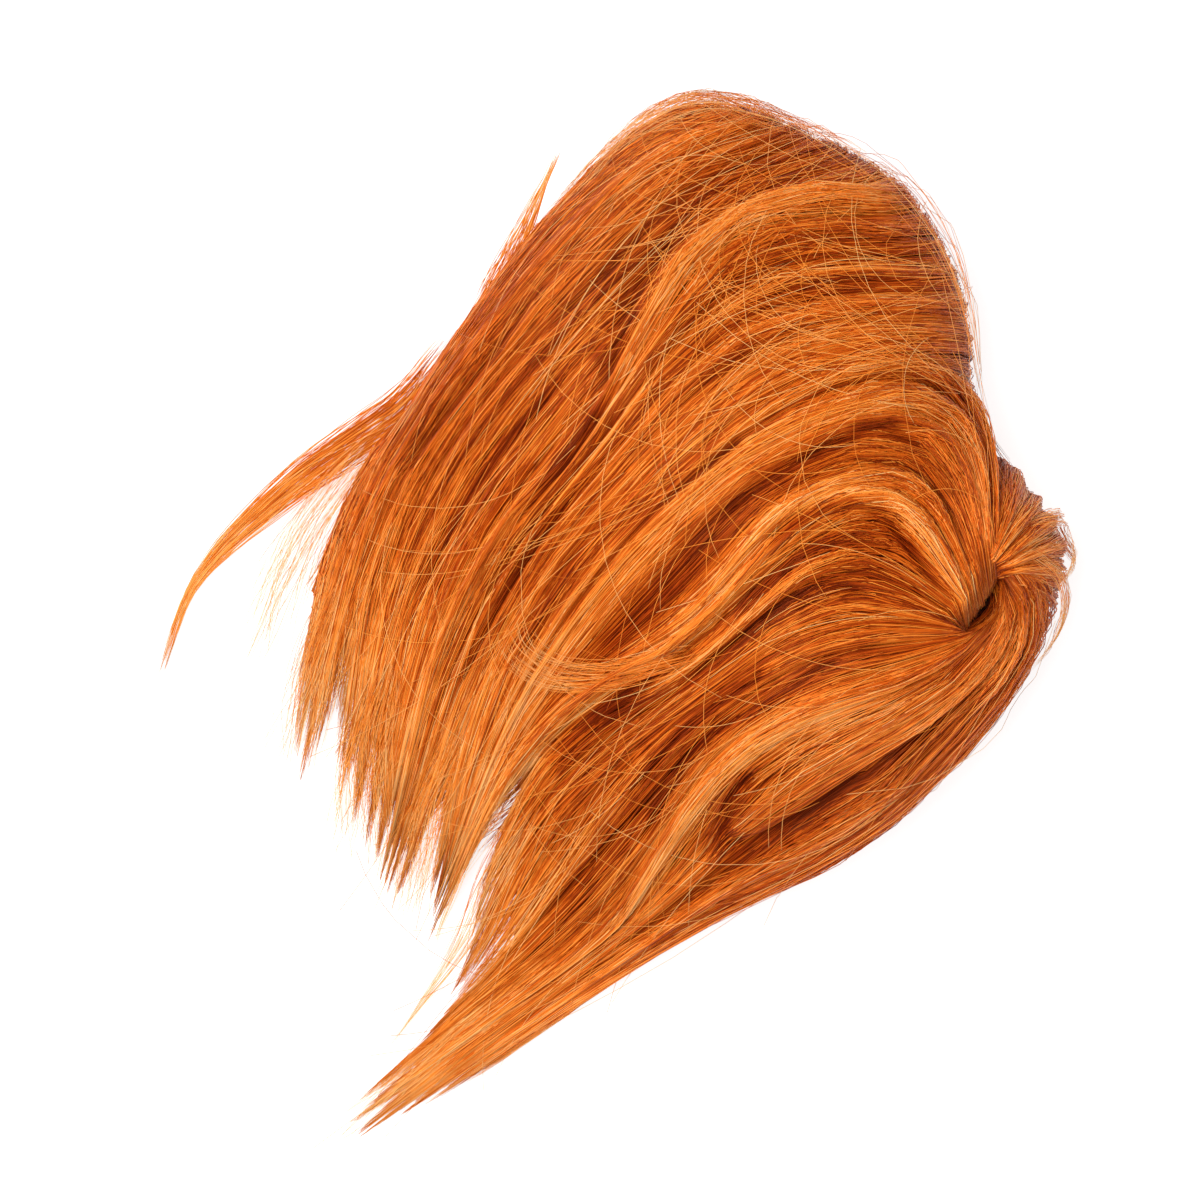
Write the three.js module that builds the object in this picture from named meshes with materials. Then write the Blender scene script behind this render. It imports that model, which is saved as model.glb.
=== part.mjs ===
// Short side-parted wig lying on its back: a hollow net cap under swept sections of straight hair.
// Millimetres. +Z points up off the table to the face side, +Y points to the crown.
// Places are measured from the middle of the view from above, and the whole is then centred on its base.
import * as THREE from 'three';

// Driving sizes
const HEAD_Y = 60;            // the middle of the head dome lies on x = 0 at this y
const UPPER_POWER = 2.3;      // roundness of the dome above its widest line
const LOWER_POWER = 3.4;      // the underside is flatter, pressed by its own weight
const ON_OUTLINE = 1 - 1e-6;  // share of the outline's reach that counts as its very edge
const SEAM = 0.9;             // clear gap between neighbouring sections of hair
const SIDE_THINNING = 0.3;    // share of its thickness that the hair loses towards the outline
const FURROW_THINNING = 0.3;  // share of its thickness that the hair loses at the edges of a section
const FLAT = 1.0;             // how much of the underside is pressed flat on the table
const TIP_THICK = 1.3;        // thickness of a lock at its very tip
const UPPER_RIDGE = 1.6;      // how far a lock's ridge stands over the form, and its furrow sinks under it
const BEHIND_RIDGE = 1.2;
const BACK_RIDGE = 0.4;
const BEHIND_THICK = 12;      // thickness of the hair behind the part
const BACK_THICK = 8.5;       // thickness of the hair underneath
const UPPER_ROWS = 18;        // cross-sections along each section of hair
const BEHIND_ROWS = 6;
const BACK_ROWS = 14;
const LOOSE_ROWS = 14;
const ROOT_CROWDING = 1.5;    // rows of a section lie closer together near its roots
const SLIT_FROM = 0.68;       // a slit opens between these shares of its furrow
const SLIT_TO = 0.9;
const CAP_WALL = 2;
const CAP_UNDER_TOP_HAIR = 15.6;
const CAP_OVER_BACK_HAIR = 9.4;
const CAP_CROWN = 139;        // y of the form where the cap's first ring is taken
const CAP_RIM_TOP = 52;       // y of the form at the cap's rim over the forehead
const CAP_RIM_NAPE = -38;     // y of the form at the cap's rim at the nape
const CAP_SIDES = 28;
const CAP_RINGS = 9;
const CENTRE = [-4.3, -6.6];  // middle of the base, from the middle of the view

// The outline of the head above HEAD_Y, as distances from its middle, anticlockwise from +X in degrees
const OUTLINE = [
  { angle: -8, reach: 117 },
  { angle: 0, reach: 115.5 },
  { angle: 13, reach: 112.8 },
  { angle: 30, reach: 112.5 },
  { angle: 40, reach: 109.5 },
  { angle: 46, reach: 104 },
  { angle: 52, reach: 95.5 },
  { angle: 63, reach: 85.5 },
  { angle: 76, reach: 84.4 },
  { angle: 90, reach: 95 },
  { angle: 101, reach: 104.5 },
  { angle: 116, reach: 115 },
  { angle: 132, reach: 121 },
  { angle: 149, reach: 129.5 },
  { angle: 159, reach: 124.4 },
  { angle: 172, reach: 114 },
  { angle: 180, reach: 110.5 },
  { angle: 188, reach: 108 },
];

// Cross-sections from the tips up to the head: reach to each side, height of the top and of the widest
// line, and how thick the upper hair lies there
const STATIONS = [
  { y: -180, left: 12, right: 97, top: 6.2, wide: 3.6, hair: 1.8 },
  { y: -150, left: 12, right: 98.5, top: 7.6, wide: 4.0, hair: 2.7 },
  { y: -120, left: 14, right: 101.5, top: 9.0, wide: 4.4, hair: 3.5 },
  { y: -105, left: 34, right: 103, top: 12.4, wide: 5.5, hair: 4.5 },
  { y: -90, left: 52, right: 103.5, top: 19, wide: 8.0, hair: 5.8 },
  { y: -60, left: 72, right: 104.5, top: 35, wide: 13, hair: 8 },
  { y: -30, left: 86.5, right: 108.5, top: 55, wide: 20.5, hair: 10 },
  { y: -12, left: 89, right: 113, top: 68, wide: 25, hair: 11 },
  { y: 0, left: 94, right: 116.5, top: 76, wide: 27.5, hair: 12 },
  { y: 30, left: 103, right: 118.5, top: 90, wide: 32, hair: 13.5 },
  { y: 60, left: 110.5, right: 115.5, top: 95, wide: 34, hair: 14.5 },
  { y: 75, left: 110.5, right: 115.5, top: 95, wide: 34, hair: 14.5 },
];

// Each lock is a line through five places on the form, from its root to its tip.
// groove is where the furrow on its left ends, as a share of the way to the tips, lift raises its ridge,
// and slit opens its left furrow by that much on each side, towards the tips.
const lock = (root, crest, side, fall, tip, groove, lift = 0, slit = 0) => ({
  root,
  crest,
  side,
  fall,
  tip,
  groove,
  lift,
  slit,
});

const LEFT_EDGE = lock([-77, 160], [-122, 124], [-117, 70], [-98, 0], [-60, -98], 0.95);
const RIGHT_EDGE = lock([79.5, 110], [108, 99], [123, 30], [108, -60], [102, -148], 0.97);

const SECTIONS = {
  left_side_hair: {
    colour: 0xd4661e,
    locks: [
      lock([-83, 158], [-110, 123], [-109, 68], [-90, 2], [-42, -100], 0.93, 0.5),
      lock([-75, 162], [-100, 126], [-99, 69], [-80, 0], [-28, -108], 0.92, 1.5),
      lock([-66, 165], [-89, 128], [-88, 70], [-70, -2], [-14, -118], 0.93, 0.5),
      lock([-56, 167], [-78, 128], [-76, 70], [-60, -2], [-5, -106], 0.92, 0),
    ],
  },
  crown_sweep_hair: {
    colour: 0xd86a20,
    locks: [
      lock([-42, 168], [-66, 132], [-66, 74], [-46, 0], [3, -107], 0.93, 3),
      lock([-26, 166], [-51, 132], [-52, 74], [-36, 0], [9, -103], 0.92, 1),
      lock([-8, 161], [-33, 128], [-38, 72], [-25, 2], [18, -111], 0.93, 0.5),
      lock([8, 152], [-15, 124], [-24, 72], [-14, 4], [27, -116], 0.92, 0),
    ],
  },
  fringe_hair: {
    colour: 0xe0782a,
    locks: [
      lock([70, 112.5], [21, 131], [-11, 74], [-4, 6], [33, -120], 0.93, 1.5),
      lock([72.5, 107], [29, 117], [0, 73], [3, 8], [40, -126], 0.94, 1),
      lock([74, 101], [38, 106], [10, 72], [10, 10], [50, -121], 0.92, 2.5),
      lock([74, 95], [46, 97], [19, 70], [17, 12], [57, -118], 0.92, 1.5),
    ],
  },
  right_side_hair: {
    colour: 0xdb7024,
    locks: [
      lock([73.5, 89], [50, 83], [31, 58], [34, 0], [54, -88], 0.8, 0, 3),
      lock([76, 89.5], [58, 71], [43, 44], [44, -14], [72, -114], 0.9, 0),
      lock([78, 91.5], [70, 66], [57, 34], [57, -24], [83, -163], 0.9, 1),
      lock([79.5, 95], [84, 66], [71, 22], [77, -42], [88, -176], 0.96, 3),
      lock([80, 99.5], [98, 74], [93, 22], [94, -52], [93, -177], 0.96, -3),
      lock([80, 105], [107, 84], [112, 28], [103, -56], [98, -158], 0.95, 1),
    ],
  },
};

// Behind the part the hair fans up to the crown edge
const BEHIND_PART_LEFT = lock([70.2, 112.8], [60, 119.3], [49.6, 125.8], [39.6, 132.6], [29, 141], 1);
const BEHIND_PART_RIGHT = lock([80, 111.4], [87, 111], [94, 109.6], [101, 107], [110, 103], 1);
const BEHIND_PART = [
  lock([71.5, 113.6], [63, 121.5], [55, 129], [49, 136], [43, 142], 1, 0.5),
  lock([74, 113.6], [71, 121], [69, 128], [67, 135.5], [65, 143], 1, 1),
  lock([76.5, 113.2], [80, 119.5], [83, 125], [86, 131], [89, 137], 1, 1),
  lock([79, 112.4], [86, 114.5], [92, 117], [98, 119.5], [104, 122], 1, 0),
];

// The hair underneath, from the crown edge to the nape
const BACK_LEFT = lock([-125, 132], [-125, 90], [-112, 30], [-96, -30], [-66, -92], 0.9);
const BACK_RIGHT = lock([118, 105], [122, 70], [124, 20], [108, -40], [98, -112], 0.94);
const BACK = [
  lock([-112, 150], [-98, 90], [-88, 26], [-73, -30], [-46, -90], 0.93, 0),
  lock([-84, 162], [-74, 90], [-66, 26], [-55, -30], [-30, -99], 0.93, 0),
  lock([-55, 170], [-48, 90], [-43, 26], [-35, -30], [-13, -104], 0.93, 0),
  lock([-26, 168], [-22, 88], [-19, 26], [-13, -30], [5, -96], 0.93, 0),
  lock([6, 155], [6, 86], [7, 26], [9, -26], [21, -100], 0.93, 0),
  lock([34, 145], [34, 84], [33, 26], [32, -20], [34, -88], 0.9, 0),
  lock([62, 142], [59, 84], [58, 26], [58, -26], [70, -96], 0.82, 0),
  lock([92, 130], [85, 82], [84, 24], [82, -32], [87, -122], 0.92, 0),
  lock([108, 115], [105, 80], [106, 22], [98, -36], [96, -118], 0.93, 0),
];

// Loose locks: width and thickness at the widest place, and either the heights of its places over the table
// or how far it lies over the form
const LOOSE = {
  left_tail_lock: {
    colour: 0xd0601a,
    places: [[-91.5, -10], [-92.5, -32], [-94, -62], [-89, -104], [-71, -134]],
    heights: [17, 12, 7, 4.5, 2.2],
    width: 10,
    thick: 4,
  },
  flick_lock: {
    colour: 0xe8923e,
    places: [[-110.6, 44], [-113.2, 52], [-116.5, 61], [-121, 71], [-127, 83]],
    heights: [36, 36, 35, 33, 31],
    width: 5,
    thick: 3,
  },
  cross_lock: {
    colour: 0xe8862e,
    places: [[29, 3], [26, -8], [19, -18], [9, -26], [-5, -32]],
    over: 5,
    width: 8,
    thick: 2.4,
  },
};

// The form that the hair follows

const interpolant = (rows, along, columns) =>
  new THREE.CubicInterpolant(
    rows.map((row) => row[along]),
    rows.flatMap((row) => columns.map((column) => row[column])),
    columns.length,
    new Float64Array(columns.length),
  );

const stationColumns = interpolant(STATIONS, 'y', ['left', 'right', 'top', 'wide', 'hair']);
const outlineColumns = interpolant(OUTLINE, 'angle', ['reach']);

function stationAt(y) {
  const [left, right, top, wide, hair] = stationColumns.evaluate(Math.min(y, HEAD_Y));
  return { left, right, top, wide, hair };
}

// 0 on the middle line of the form and 1 on its outline
function fullness(x, y) {
  if (y > HEAD_Y) {
    const angle = THREE.MathUtils.radToDeg(Math.atan2(y - HEAD_Y, x));
    return Math.hypot(x, y - HEAD_Y) / outlineColumns.evaluate(angle)[0];
  }
  const station = stationAt(y);
  return Math.abs(x) / (x < 0 ? station.left : station.right);
}

function insideOutline([x, y]) {
  const share = fullness(x, y);
  if (share <= ON_OUTLINE) return [x, y];
  const back = ON_OUTLINE / share;
  return y > HEAD_Y ? [x * back, HEAD_Y + (y - HEAD_Y) * back] : [x * back, y];
}

const halfShape = (station, upper) =>
  upper
    ? { span: station.top - station.wide, power: UPPER_POWER, sign: 1 }
    : { span: station.wide, power: LOWER_POWER, sign: -1 };

function formHeight(x, y, upper) {
  const station = stationAt(y);
  const { span, power, sign } = halfShape(station, upper);
  return station.wide + sign * span * (1 - fullness(x, y) ** power) ** (1 / power);
}

// Below zero inside the form and above zero outside it
function formLevel(x, y, z, upper) {
  const station = stationAt(y);
  const { span, power } = halfShape(station, upper);
  return fullness(x, y) ** power + (Math.abs(z - station.wide) / span) ** power - 1;
}

function formNormal(x, y, z, upper) {
  const step = 0.4;
  const slope = (dx, dy, dz) =>
    formLevel(x + dx, y + dy, z + dz, upper) - formLevel(x - dx, y - dy, z - dz, upper);
  return new THREE.Vector3(slope(step, 0, 0), slope(0, step, 0), slope(0, 0, step)).normalize();
}

// A point on the form over or under a place, sunk by depth along the form's own normal
function onForm(place, depth, upper) {
  const [x, y] = insideOutline(place);
  const z = formHeight(x, y, upper);
  return new THREE.Vector3(x, y, z).addScaledVector(formNormal(x, y, z, upper), -depth);
}

// Meshes from rows of points

function solidFrom(points, faces) {
  const geometry = new THREE.BufferGeometry().setFromPoints(points);
  let volume = 0;
  for (let i = 0; i < faces.length; i += 3) {
    const [a, b, c] = [points[faces[i]], points[faces[i + 1]], points[faces[i + 2]]];
    volume += a.dot(b.clone().cross(c));
  }
  geometry.setIndex(volume < 0 ? faces.reverse() : faces);
  geometry.computeVertexNormals();
  return geometry;
}

function closedGrid(top, bottom) {
  const rows = top.length;
  const columns = top[0].length;
  const under = rows * columns;
  const faces = [];
  const quad = (a, b, c, d) => faces.push(a, b, c, a, c, d);
  for (let row = 0; row + 1 < rows; row++) {
    for (let column = 0; column + 1 < columns; column++) {
      const near = row * columns + column;
      const far = near + columns;
      quad(near, near + 1, far + 1, far);
      quad(under + near, under + far, under + far + 1, under + near + 1);
    }
    const left = row * columns;
    const right = left + columns - 1;
    quad(left, left + columns, under + left + columns, under + left);
    quad(right + columns, right, under + right, under + right + columns);
  }
  for (let column = 0; column + 1 < columns; column++) {
    const last = (rows - 1) * columns + column;
    quad(column + 1, column, under + column, under + column + 1);
    quad(last, last + 1, under + last + 1, under + last);
  }
  return solidFrom([...top.flat(), ...bottom.flat()], faces);
}

// Sections of hair

const PLACES = ['root', 'crest', 'side', 'fall', 'tip'];
const mix = THREE.MathUtils.lerp;
const mixPlaces = (a, b, share) => [mix(a[0], b[0], share), mix(a[1], b[1], share)];

function between(a, b) {
  const line = { groove: b.groove, slit: b.slit };
  for (const place of PLACES) line[place] = mixPlaces(a[place], b[place], 0.5);
  return line;
}

function lineOf(row) {
  const curve = new THREE.CatmullRomCurve3(PLACES.map((place) => new THREE.Vector3(...row[place], 0)));
  return (share) => {
    const point = curve.getPoint(share);
    return [point.x, point.y];
  };
}

// Columns of a section: the furrow, flank, ridge and other flank of each lock, then the last furrow
function sectionColumns(leftEdge, locks, rightEdge) {
  const furrows = [leftEdge, ...locks.slice(1).map((next, i) => between(locks[i], next)), rightEdge];
  const columns = [];
  const add = (from, to, share) => {
    const [a, b] = [lineOf(from), lineOf(to)];
    const length = mix(from.groove, 1, share);
    columns.push({
      place: (t) => mixPlaces(a(t * length), b(t * length), share),
      height: mix(-1, 1, share * (2 - share)),
      lift: to.lift * share,
      slit: from.slit,
    });
  };
  locks.forEach((ridge, i) => {
    add(furrows[i], ridge, 0);
    add(furrows[i], ridge, 0.5);
    add(furrows[i], ridge, 1);
    add(furrows[i + 1], ridge, 0.5);
  });
  add(rightEdge, locks.at(-1), 0);
  return columns;
}

// The outer columns step inwards by half a seam and by their slit, square to their own line
function nudgedFromEdge(columns, index, t) {
  const { place, slit } = columns[index];
  const step = SEAM / 2 + slit * THREE.MathUtils.smoothstep(t, SLIT_FROM, SLIT_TO);
  const [x, y] = place(t);
  if (index > 0 && index < columns.length - 1) return [x, y];
  const [before, after] = [place(Math.max(0, t - 0.02)), place(Math.min(1, t + 0.02))];
  const across = new THREE.Vector2(before[1] - after[1], after[0] - before[0]).normalize();
  const towards = columns[index === 0 ? 1 : index - 1].place(t);
  const side = Math.sign(across.x * (towards[0] - x) + across.y * (towards[1] - y));
  return [x + side * across.x * step, y + side * across.y * step];
}

function hairSection({ leftEdge, locks, rightEdge, rows, upper, ridge, thickAt }) {
  const columns = sectionColumns(leftEdge, locks, rightEdge);
  const top = [];
  const bottom = [];
  for (let row = 0; row <= rows; row++) {
    const t = (row / rows) ** ROOT_CROWDING;
    const grown = THREE.MathUtils.smoothstep(t, 0, 0.25);
    const places = columns.map((column, index) => nudgedFromEdge(columns, index, t));
    const depths = columns.map((column) => -grown * (ridge * column.height + column.lift));
    top.push(places.map((place, index) => onForm(place, depths[index], upper)));
    bottom.push(
      places.map((place, index) => {
        const atEdge = index === 0 || index === columns.length - 1;
        const bySide = 1 - SIDE_THINNING * fullness(...insideOutline(place)) ** 4;
        const thick = thickAt(place, t) * bySide * (atEdge ? 1 - FURROW_THINNING : 1);
        return onForm(place, Math.max(depths[index] + TIP_THICK, thick), upper);
      }),
    );
  }
  return { top, bottom };
}

// The upper hair thins with the form and tapers to its tips
function upperThickness([, y], t) {
  return mix(stationAt(y).hair, TIP_THICK, THREE.MathUtils.smoothstep(t, 0.8, 1));
}

function mesh(name, geometry, colour, roughness = 0.45) {
  const material = new THREE.MeshStandardMaterial({ color: colour, roughness, metalness: 0 });
  const made = new THREE.Mesh(geometry, material);
  made.name = name;
  return made;
}

// Upper sections lie side by side, so each shares its edge with its neighbour
function upperSections() {
  const names = Object.keys(SECTIONS);
  return names.map((name, i) => {
    const { locks, colour } = SECTIONS[name];
    const before = i > 0 ? SECTIONS[names[i - 1]].locks.at(-1) : null;
    const after = i + 1 < names.length ? SECTIONS[names[i + 1]].locks[0] : null;
    const { top, bottom } = hairSection({
      leftEdge: before ? between(before, locks[0]) : LEFT_EDGE,
      locks,
      rightEdge: after ? between(locks.at(-1), after) : RIGHT_EDGE,
      rows: UPPER_ROWS,
      upper: true,
      ridge: UPPER_RIDGE,
      thickAt: upperThickness,
    });
    return mesh(name, closedGrid(top, bottom), colour);
  });
}

function crownBack() {
  const { top, bottom } = hairSection({
    leftEdge: BEHIND_PART_LEFT,
    locks: BEHIND_PART,
    rightEdge: BEHIND_PART_RIGHT,
    rows: BEHIND_ROWS,
    upper: true,
    ridge: BEHIND_RIDGE,
    thickAt: () => BEHIND_THICK,
  });
  return mesh('crown_back_hair', closedGrid(top, bottom), 0xe08030);
}

function backHair() {
  const { top, bottom } = hairSection({
    leftEdge: BACK_LEFT,
    locks: BACK,
    rightEdge: BACK_RIGHT,
    rows: BACK_ROWS,
    upper: false,
    ridge: BACK_RIDGE,
    thickAt: (place, t) => mix(BACK_THICK, TIP_THICK, THREE.MathUtils.smoothstep(t, 0.55, 1)),
  });
  for (const point of top.flat()) point.z = Math.max(point.z, FLAT);
  return mesh('back_hair', closedGrid(top, bottom), 0xc65a18);
}

// The cap

function capPoint(y, angle, sink) {
  const station = stationAt(y);
  const upper = Math.sin(angle) >= 0;
  let inside = 0;
  let outside = 200;
  const along = (reach) => [reach * Math.cos(angle), station.wide + reach * Math.sin(angle)];
  for (let i = 0; i < 40; i++) {
    const reach = (inside + outside) / 2;
    const [x, z] = along(reach);
    if (formLevel(x, y, z, upper) < 0) inside = reach;
    else outside = reach;
  }
  const [x, z] = along(inside);
  return new THREE.Vector3(x, y, z).addScaledVector(formNormal(x, y, z, upper), -sink);
}

function wigCap() {
  const around = CAP_SIDES;
  const rings = CAP_RINGS;
  const shell = (extra) => {
    const made = [];
    for (let ring = 0; ring <= rings; ring++) {
      for (let i = 0; i < around; i++) {
        const angle = (2 * Math.PI * i) / around;
        const faceward = (1 + Math.sin(angle)) / 2;
        const rim = mix(CAP_RIM_NAPE, CAP_RIM_TOP, faceward);
        const sink = mix(CAP_OVER_BACK_HAIR, CAP_UNDER_TOP_HAIR, faceward) + extra;
        made.push(capPoint(mix(CAP_CROWN, rim, ring / rings), angle, sink));
      }
    }
    const pole = new THREE.Vector3();
    for (const point of made.slice(0, around)) pole.addScaledVector(point, 1 / around);
    made.push(pole);
    return made;
  };
  const outer = shell(0);
  const inner = shell(CAP_WALL);
  const under = outer.length;
  const pole = under - 1;
  const faces = [];
  const quad = (a, b, c, d) => faces.push(a, b, c, a, c, d);
  for (let i = 0; i < around; i++) {
    const next = (i + 1) % around;
    faces.push(pole, i, next);
    faces.push(under + pole, under + next, under + i);
    for (let ring = 0; ring < rings; ring++) {
      const near = ring * around;
      const far = near + around;
      quad(near + i, far + i, far + next, near + next);
      quad(under + near + i, under + near + next, under + far + next, under + far + i);
    }
    const rim = rings * around;
    quad(rim + i, under + rim + i, under + rim + next, rim + next);
  }
  return mesh('wig_cap', solidFrom([...outer, ...inner], faces), 0x6b2f12, 0.9);
}

// Loose locks

function looseLock(name, { places, heights, over, width, thick, colour }) {
  const points = places.map(([x, y], i) => new THREE.Vector3(x, y, heights ? heights[i] : 0));
  const line = new THREE.CatmullRomCurve3(points);
  const top = [];
  const bottom = [];
  for (let row = 0; row <= LOOSE_ROWS; row++) {
    const t = row / LOOSE_ROWS;
    const middle = line.getPoint(t);
    const tangent = line.getTangent(t);
    const across = new THREE.Vector3(tangent.y, -tangent.x, 0).normalize();
    const swell = 0.12 + 0.88 * Math.sin(Math.PI * Math.min(1, t + 0.12) ** 0.75);
    const lay = (share, side) => {
      const point = middle.clone().addScaledVector(across, (share * swell * width) / 2);
      const proud = (side * swell * thick * (1 - 0.6 * share * share)) / 2;
      if (!heights) return onForm([point.x, point.y], -over - proud, true);
      point.z += proud;
      return point;
    };
    const shares = [-1, -0.5, 0, 0.5, 1];
    top.push(shares.map((share) => lay(share, 1)));
    bottom.push(shares.map((share) => lay(share, -1)));
  }
  return mesh(name, closedGrid(top, bottom), colour);
}

const wig = new THREE.Group();
wig.add(wigCap(), backHair(), ...upperSections(), crownBack());
for (const [name, shape] of Object.entries(LOOSE)) wig.add(looseLock(name, shape));
wig.position.set(-CENTRE[0], -CENTRE[1], -FLAT);

export default wig;
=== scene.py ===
# %% [markdown]
# A short, straight, copper-orange wig with a side part, lying on its back. The imported model gives its solids,
# which stand for whole sections of hair. Here each section becomes what it is on the real wig: thousands of
# synthetic fibres that leave a part, sweep over the head and end in thin, see-through tips.
# The model is loaded first. The finished hair has to keep close to it.

# %% Load the imported wig
import math

import bmesh
import bpy
import numpy as np
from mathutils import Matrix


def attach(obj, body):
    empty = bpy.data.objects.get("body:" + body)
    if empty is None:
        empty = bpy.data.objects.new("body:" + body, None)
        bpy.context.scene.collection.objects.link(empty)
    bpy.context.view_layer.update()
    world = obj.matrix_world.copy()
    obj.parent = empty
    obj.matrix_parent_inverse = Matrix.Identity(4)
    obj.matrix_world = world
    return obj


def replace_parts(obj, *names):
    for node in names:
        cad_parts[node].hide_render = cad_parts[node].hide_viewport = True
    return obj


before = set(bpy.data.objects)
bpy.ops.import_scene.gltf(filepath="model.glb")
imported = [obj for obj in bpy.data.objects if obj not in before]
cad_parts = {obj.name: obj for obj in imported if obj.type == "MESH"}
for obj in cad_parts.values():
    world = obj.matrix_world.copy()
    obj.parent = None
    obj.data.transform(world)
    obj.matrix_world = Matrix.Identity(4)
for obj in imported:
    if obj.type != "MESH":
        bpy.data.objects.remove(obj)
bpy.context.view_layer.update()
scene = bpy.context.scene
MM = 0.001
print("sections of hair and the cap:", sorted(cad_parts))

# %% [markdown]
# The form under the hair. Lying on its back, the wig is a dome over the head that runs out flat into the tips,
# and its underside is pressed flatter than its top. One smooth form says how high the hair lies over every
# place of the view from above. It has the same sizes as the solids, in millimetres from the middle of the view,
# so a strand that is combed along it lies where its section lies.

# %% Outline and cross-sections of the form
HEAD_Y = 60.0          # the middle of the head dome lies on x = 0 at this y
UPPER_POWER = 2.3      # roundness of the dome above its widest line
LOWER_POWER = 3.4      # and below it
CENTRE = np.array([-4.3, -6.6])
FLAT = 1.0             # how much of the underside is pressed flat

# Distance of the outline from the middle of the head, by degrees anticlockwise from +X
OUTLINE = np.array([
    (-8, 117), (0, 115.5), (13, 112.8), (30, 112.5), (40, 109.5), (46, 104), (52, 95.5), (63, 85.5), (76, 84.4),
    (90, 95), (101, 104.5), (116, 115), (132, 121), (149, 129.5), (159, 124.4), (172, 114), (180, 110.5),
    (188, 108),
])

# y, reach to the left and to the right, height of the top and of the widest line, thickness of the hair
LEFT, RIGHT, TOP, WIDE, HAIR = 1, 2, 3, 4, 5
STATIONS = np.array([
    (-180, 12, 97, 6.2, 3.6, 1.8),
    (-150, 12, 98.5, 7.6, 4.0, 2.7),
    (-120, 14, 101.5, 9.0, 4.4, 3.5),
    (-105, 34, 103, 12.4, 5.5, 4.5),
    (-90, 52, 103.5, 19, 8.0, 5.8),
    (-60, 72, 104.5, 35, 13, 8),
    (-30, 86.5, 108.5, 55, 20.5, 10),
    (-12, 89, 113, 68, 25, 11),
    (0, 94, 116.5, 76, 27.5, 12),
    (30, 103, 118.5, 90, 32, 13.5),
    (60, 110.5, 115.5, 95, 34, 14.5),
    (75, 110.5, 115.5, 95, 34, 14.5),
])


def through_rows(at, values, x):
    """A smooth line through a table's rows, with the slope between its neighbours at each row."""
    slope = np.gradient(values, at)
    slope[1:-1] = (values[2:] - values[:-2]) / (at[2:] - at[:-2])
    i = np.clip(np.searchsorted(at, x) - 1, 0, len(at) - 2)
    step = at[i + 1] - at[i]
    s = np.clip((x - at[i]) / step, 0, 1)
    return (
        (2 * s**3 - 3 * s**2 + 1) * values[i]
        + (s**3 - 2 * s**2 + s) * step * slope[i]
        + (3 * s**2 - 2 * s**3) * values[i + 1]
        + (s**3 - s**2) * step * slope[i + 1]
    )


def station(y, column):
    return through_rows(STATIONS[:, 0], STATIONS[:, column], np.minimum(y, HEAD_Y))


def fullness(x, y):
    """0 on the middle line of the form and 1 on its outline."""
    angle = np.degrees(np.arctan2(np.maximum(y - HEAD_Y, 0), x))
    dome = np.hypot(x, y - HEAD_Y) / through_rows(OUTLINE[:, 0], OUTLINE[:, 1], angle)
    strip = np.abs(x) / np.where(x < 0, station(y, LEFT), station(y, RIGHT))
    return np.where(y > HEAD_Y, dome, strip)


print("widest over the hair:", station(np.array([30.0]), LEFT) + station(np.array([30.0]), RIGHT), "mm")

# %% [markdown]
# A place past the outline is not lost: hair that goes over the edge of the head carries on underneath it. So
# such a place is folded back onto the lower half of the form. Near the tips there is no underside to go to, and
# a place past the outline stays where it is, low over the table.

# %% Points on the form
FOLDS_ABOVE = -10.0    # y from which hair goes round the edge and underneath
FOLDS_TO = 0.3         # fullness where hair that was folded underneath stops
SLOPE_STEP = 0.4       # distance over which the slope of the form is measured


def smooth(x, start, end):
    s = np.clip((x - start) / (end - start), 0, 1)
    return s * s * (3 - 2 * s)


def level(x, y, z, upper):
    wide = station(y, WIDE)
    span = np.where(upper, station(y, TOP) - wide, wide)
    power = np.where(upper, UPPER_POWER, LOWER_POWER)
    return fullness(x, y) ** power + (np.abs(z - wide) / span) ** power


def on_form(place, depth, upper=True):
    """Points over the places of a plan, sunk by depth along the form's own normal, and those normals."""
    x, y = place[..., 0], place[..., 1]
    full = fullness(x, y)
    folds = (full > 1) & (y > FOLDS_ABOVE)
    folded = np.clip(2 - full, FOLDS_TO, 1)
    back = np.where(folds, folded / full, 1)
    x, y = x * back, np.where(y > HEAD_Y, HEAD_Y + (y - HEAD_Y) * back, y)
    full = np.minimum(np.where(folds, folded, full), 1 - 1e-6)
    upper = np.where(folds, np.logical_not(upper), upper)
    wide = station(y, WIDE)
    span = np.where(upper, station(y, TOP) - wide, wide)
    power = np.where(upper, UPPER_POWER, LOWER_POWER)
    z = wide + np.where(upper, 1, -1) * span * (1 - full**power) ** (1 / power)
    h = SLOPE_STEP
    normal = np.stack([
        level(x + h, y, z, upper) - level(x - h, y, z, upper),
        level(x, y + h, z, upper) - level(x, y - h, z, upper),
        level(x, y, z + h, upper) - level(x, y, z - h, upper),
    ], -1)
    normal /= np.linalg.norm(normal, axis=-1, keepdims=True) + 1e-12
    return np.stack([x, y, z], -1) - depth[..., None] * normal, normal


top_of_head, _ = on_form(np.array([[0.0, 60.0]]), np.array([0.0]))
print("top of the form:", top_of_head.round(1))

# %% [markdown]
# Locks. Hair that is combed and laid down parts into locks, each with its own path. Every lock is a line
# through a few places on the form, from its root to its tip, and the furrow between two locks runs midway.
# Strands are then spread between those lines. Placing some thousands of strands by hand, or letting them grow
# straight out of the surface and combing them by forces, would both be harder to match to a real arrangement.

# %% Lines of locks and furrows
LINE_POINTS = 120      # points that each line is worked out at
SPAN_POINTS = 24       # and points of its first draft between two places
RIDGE = 1.0            # how far a lock's ridge stands over the form, and a plain furrow sinks under it
FURROW_ENDS = 0.95     # share of the length where a plain furrow ends, in a notch between two tips


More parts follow.
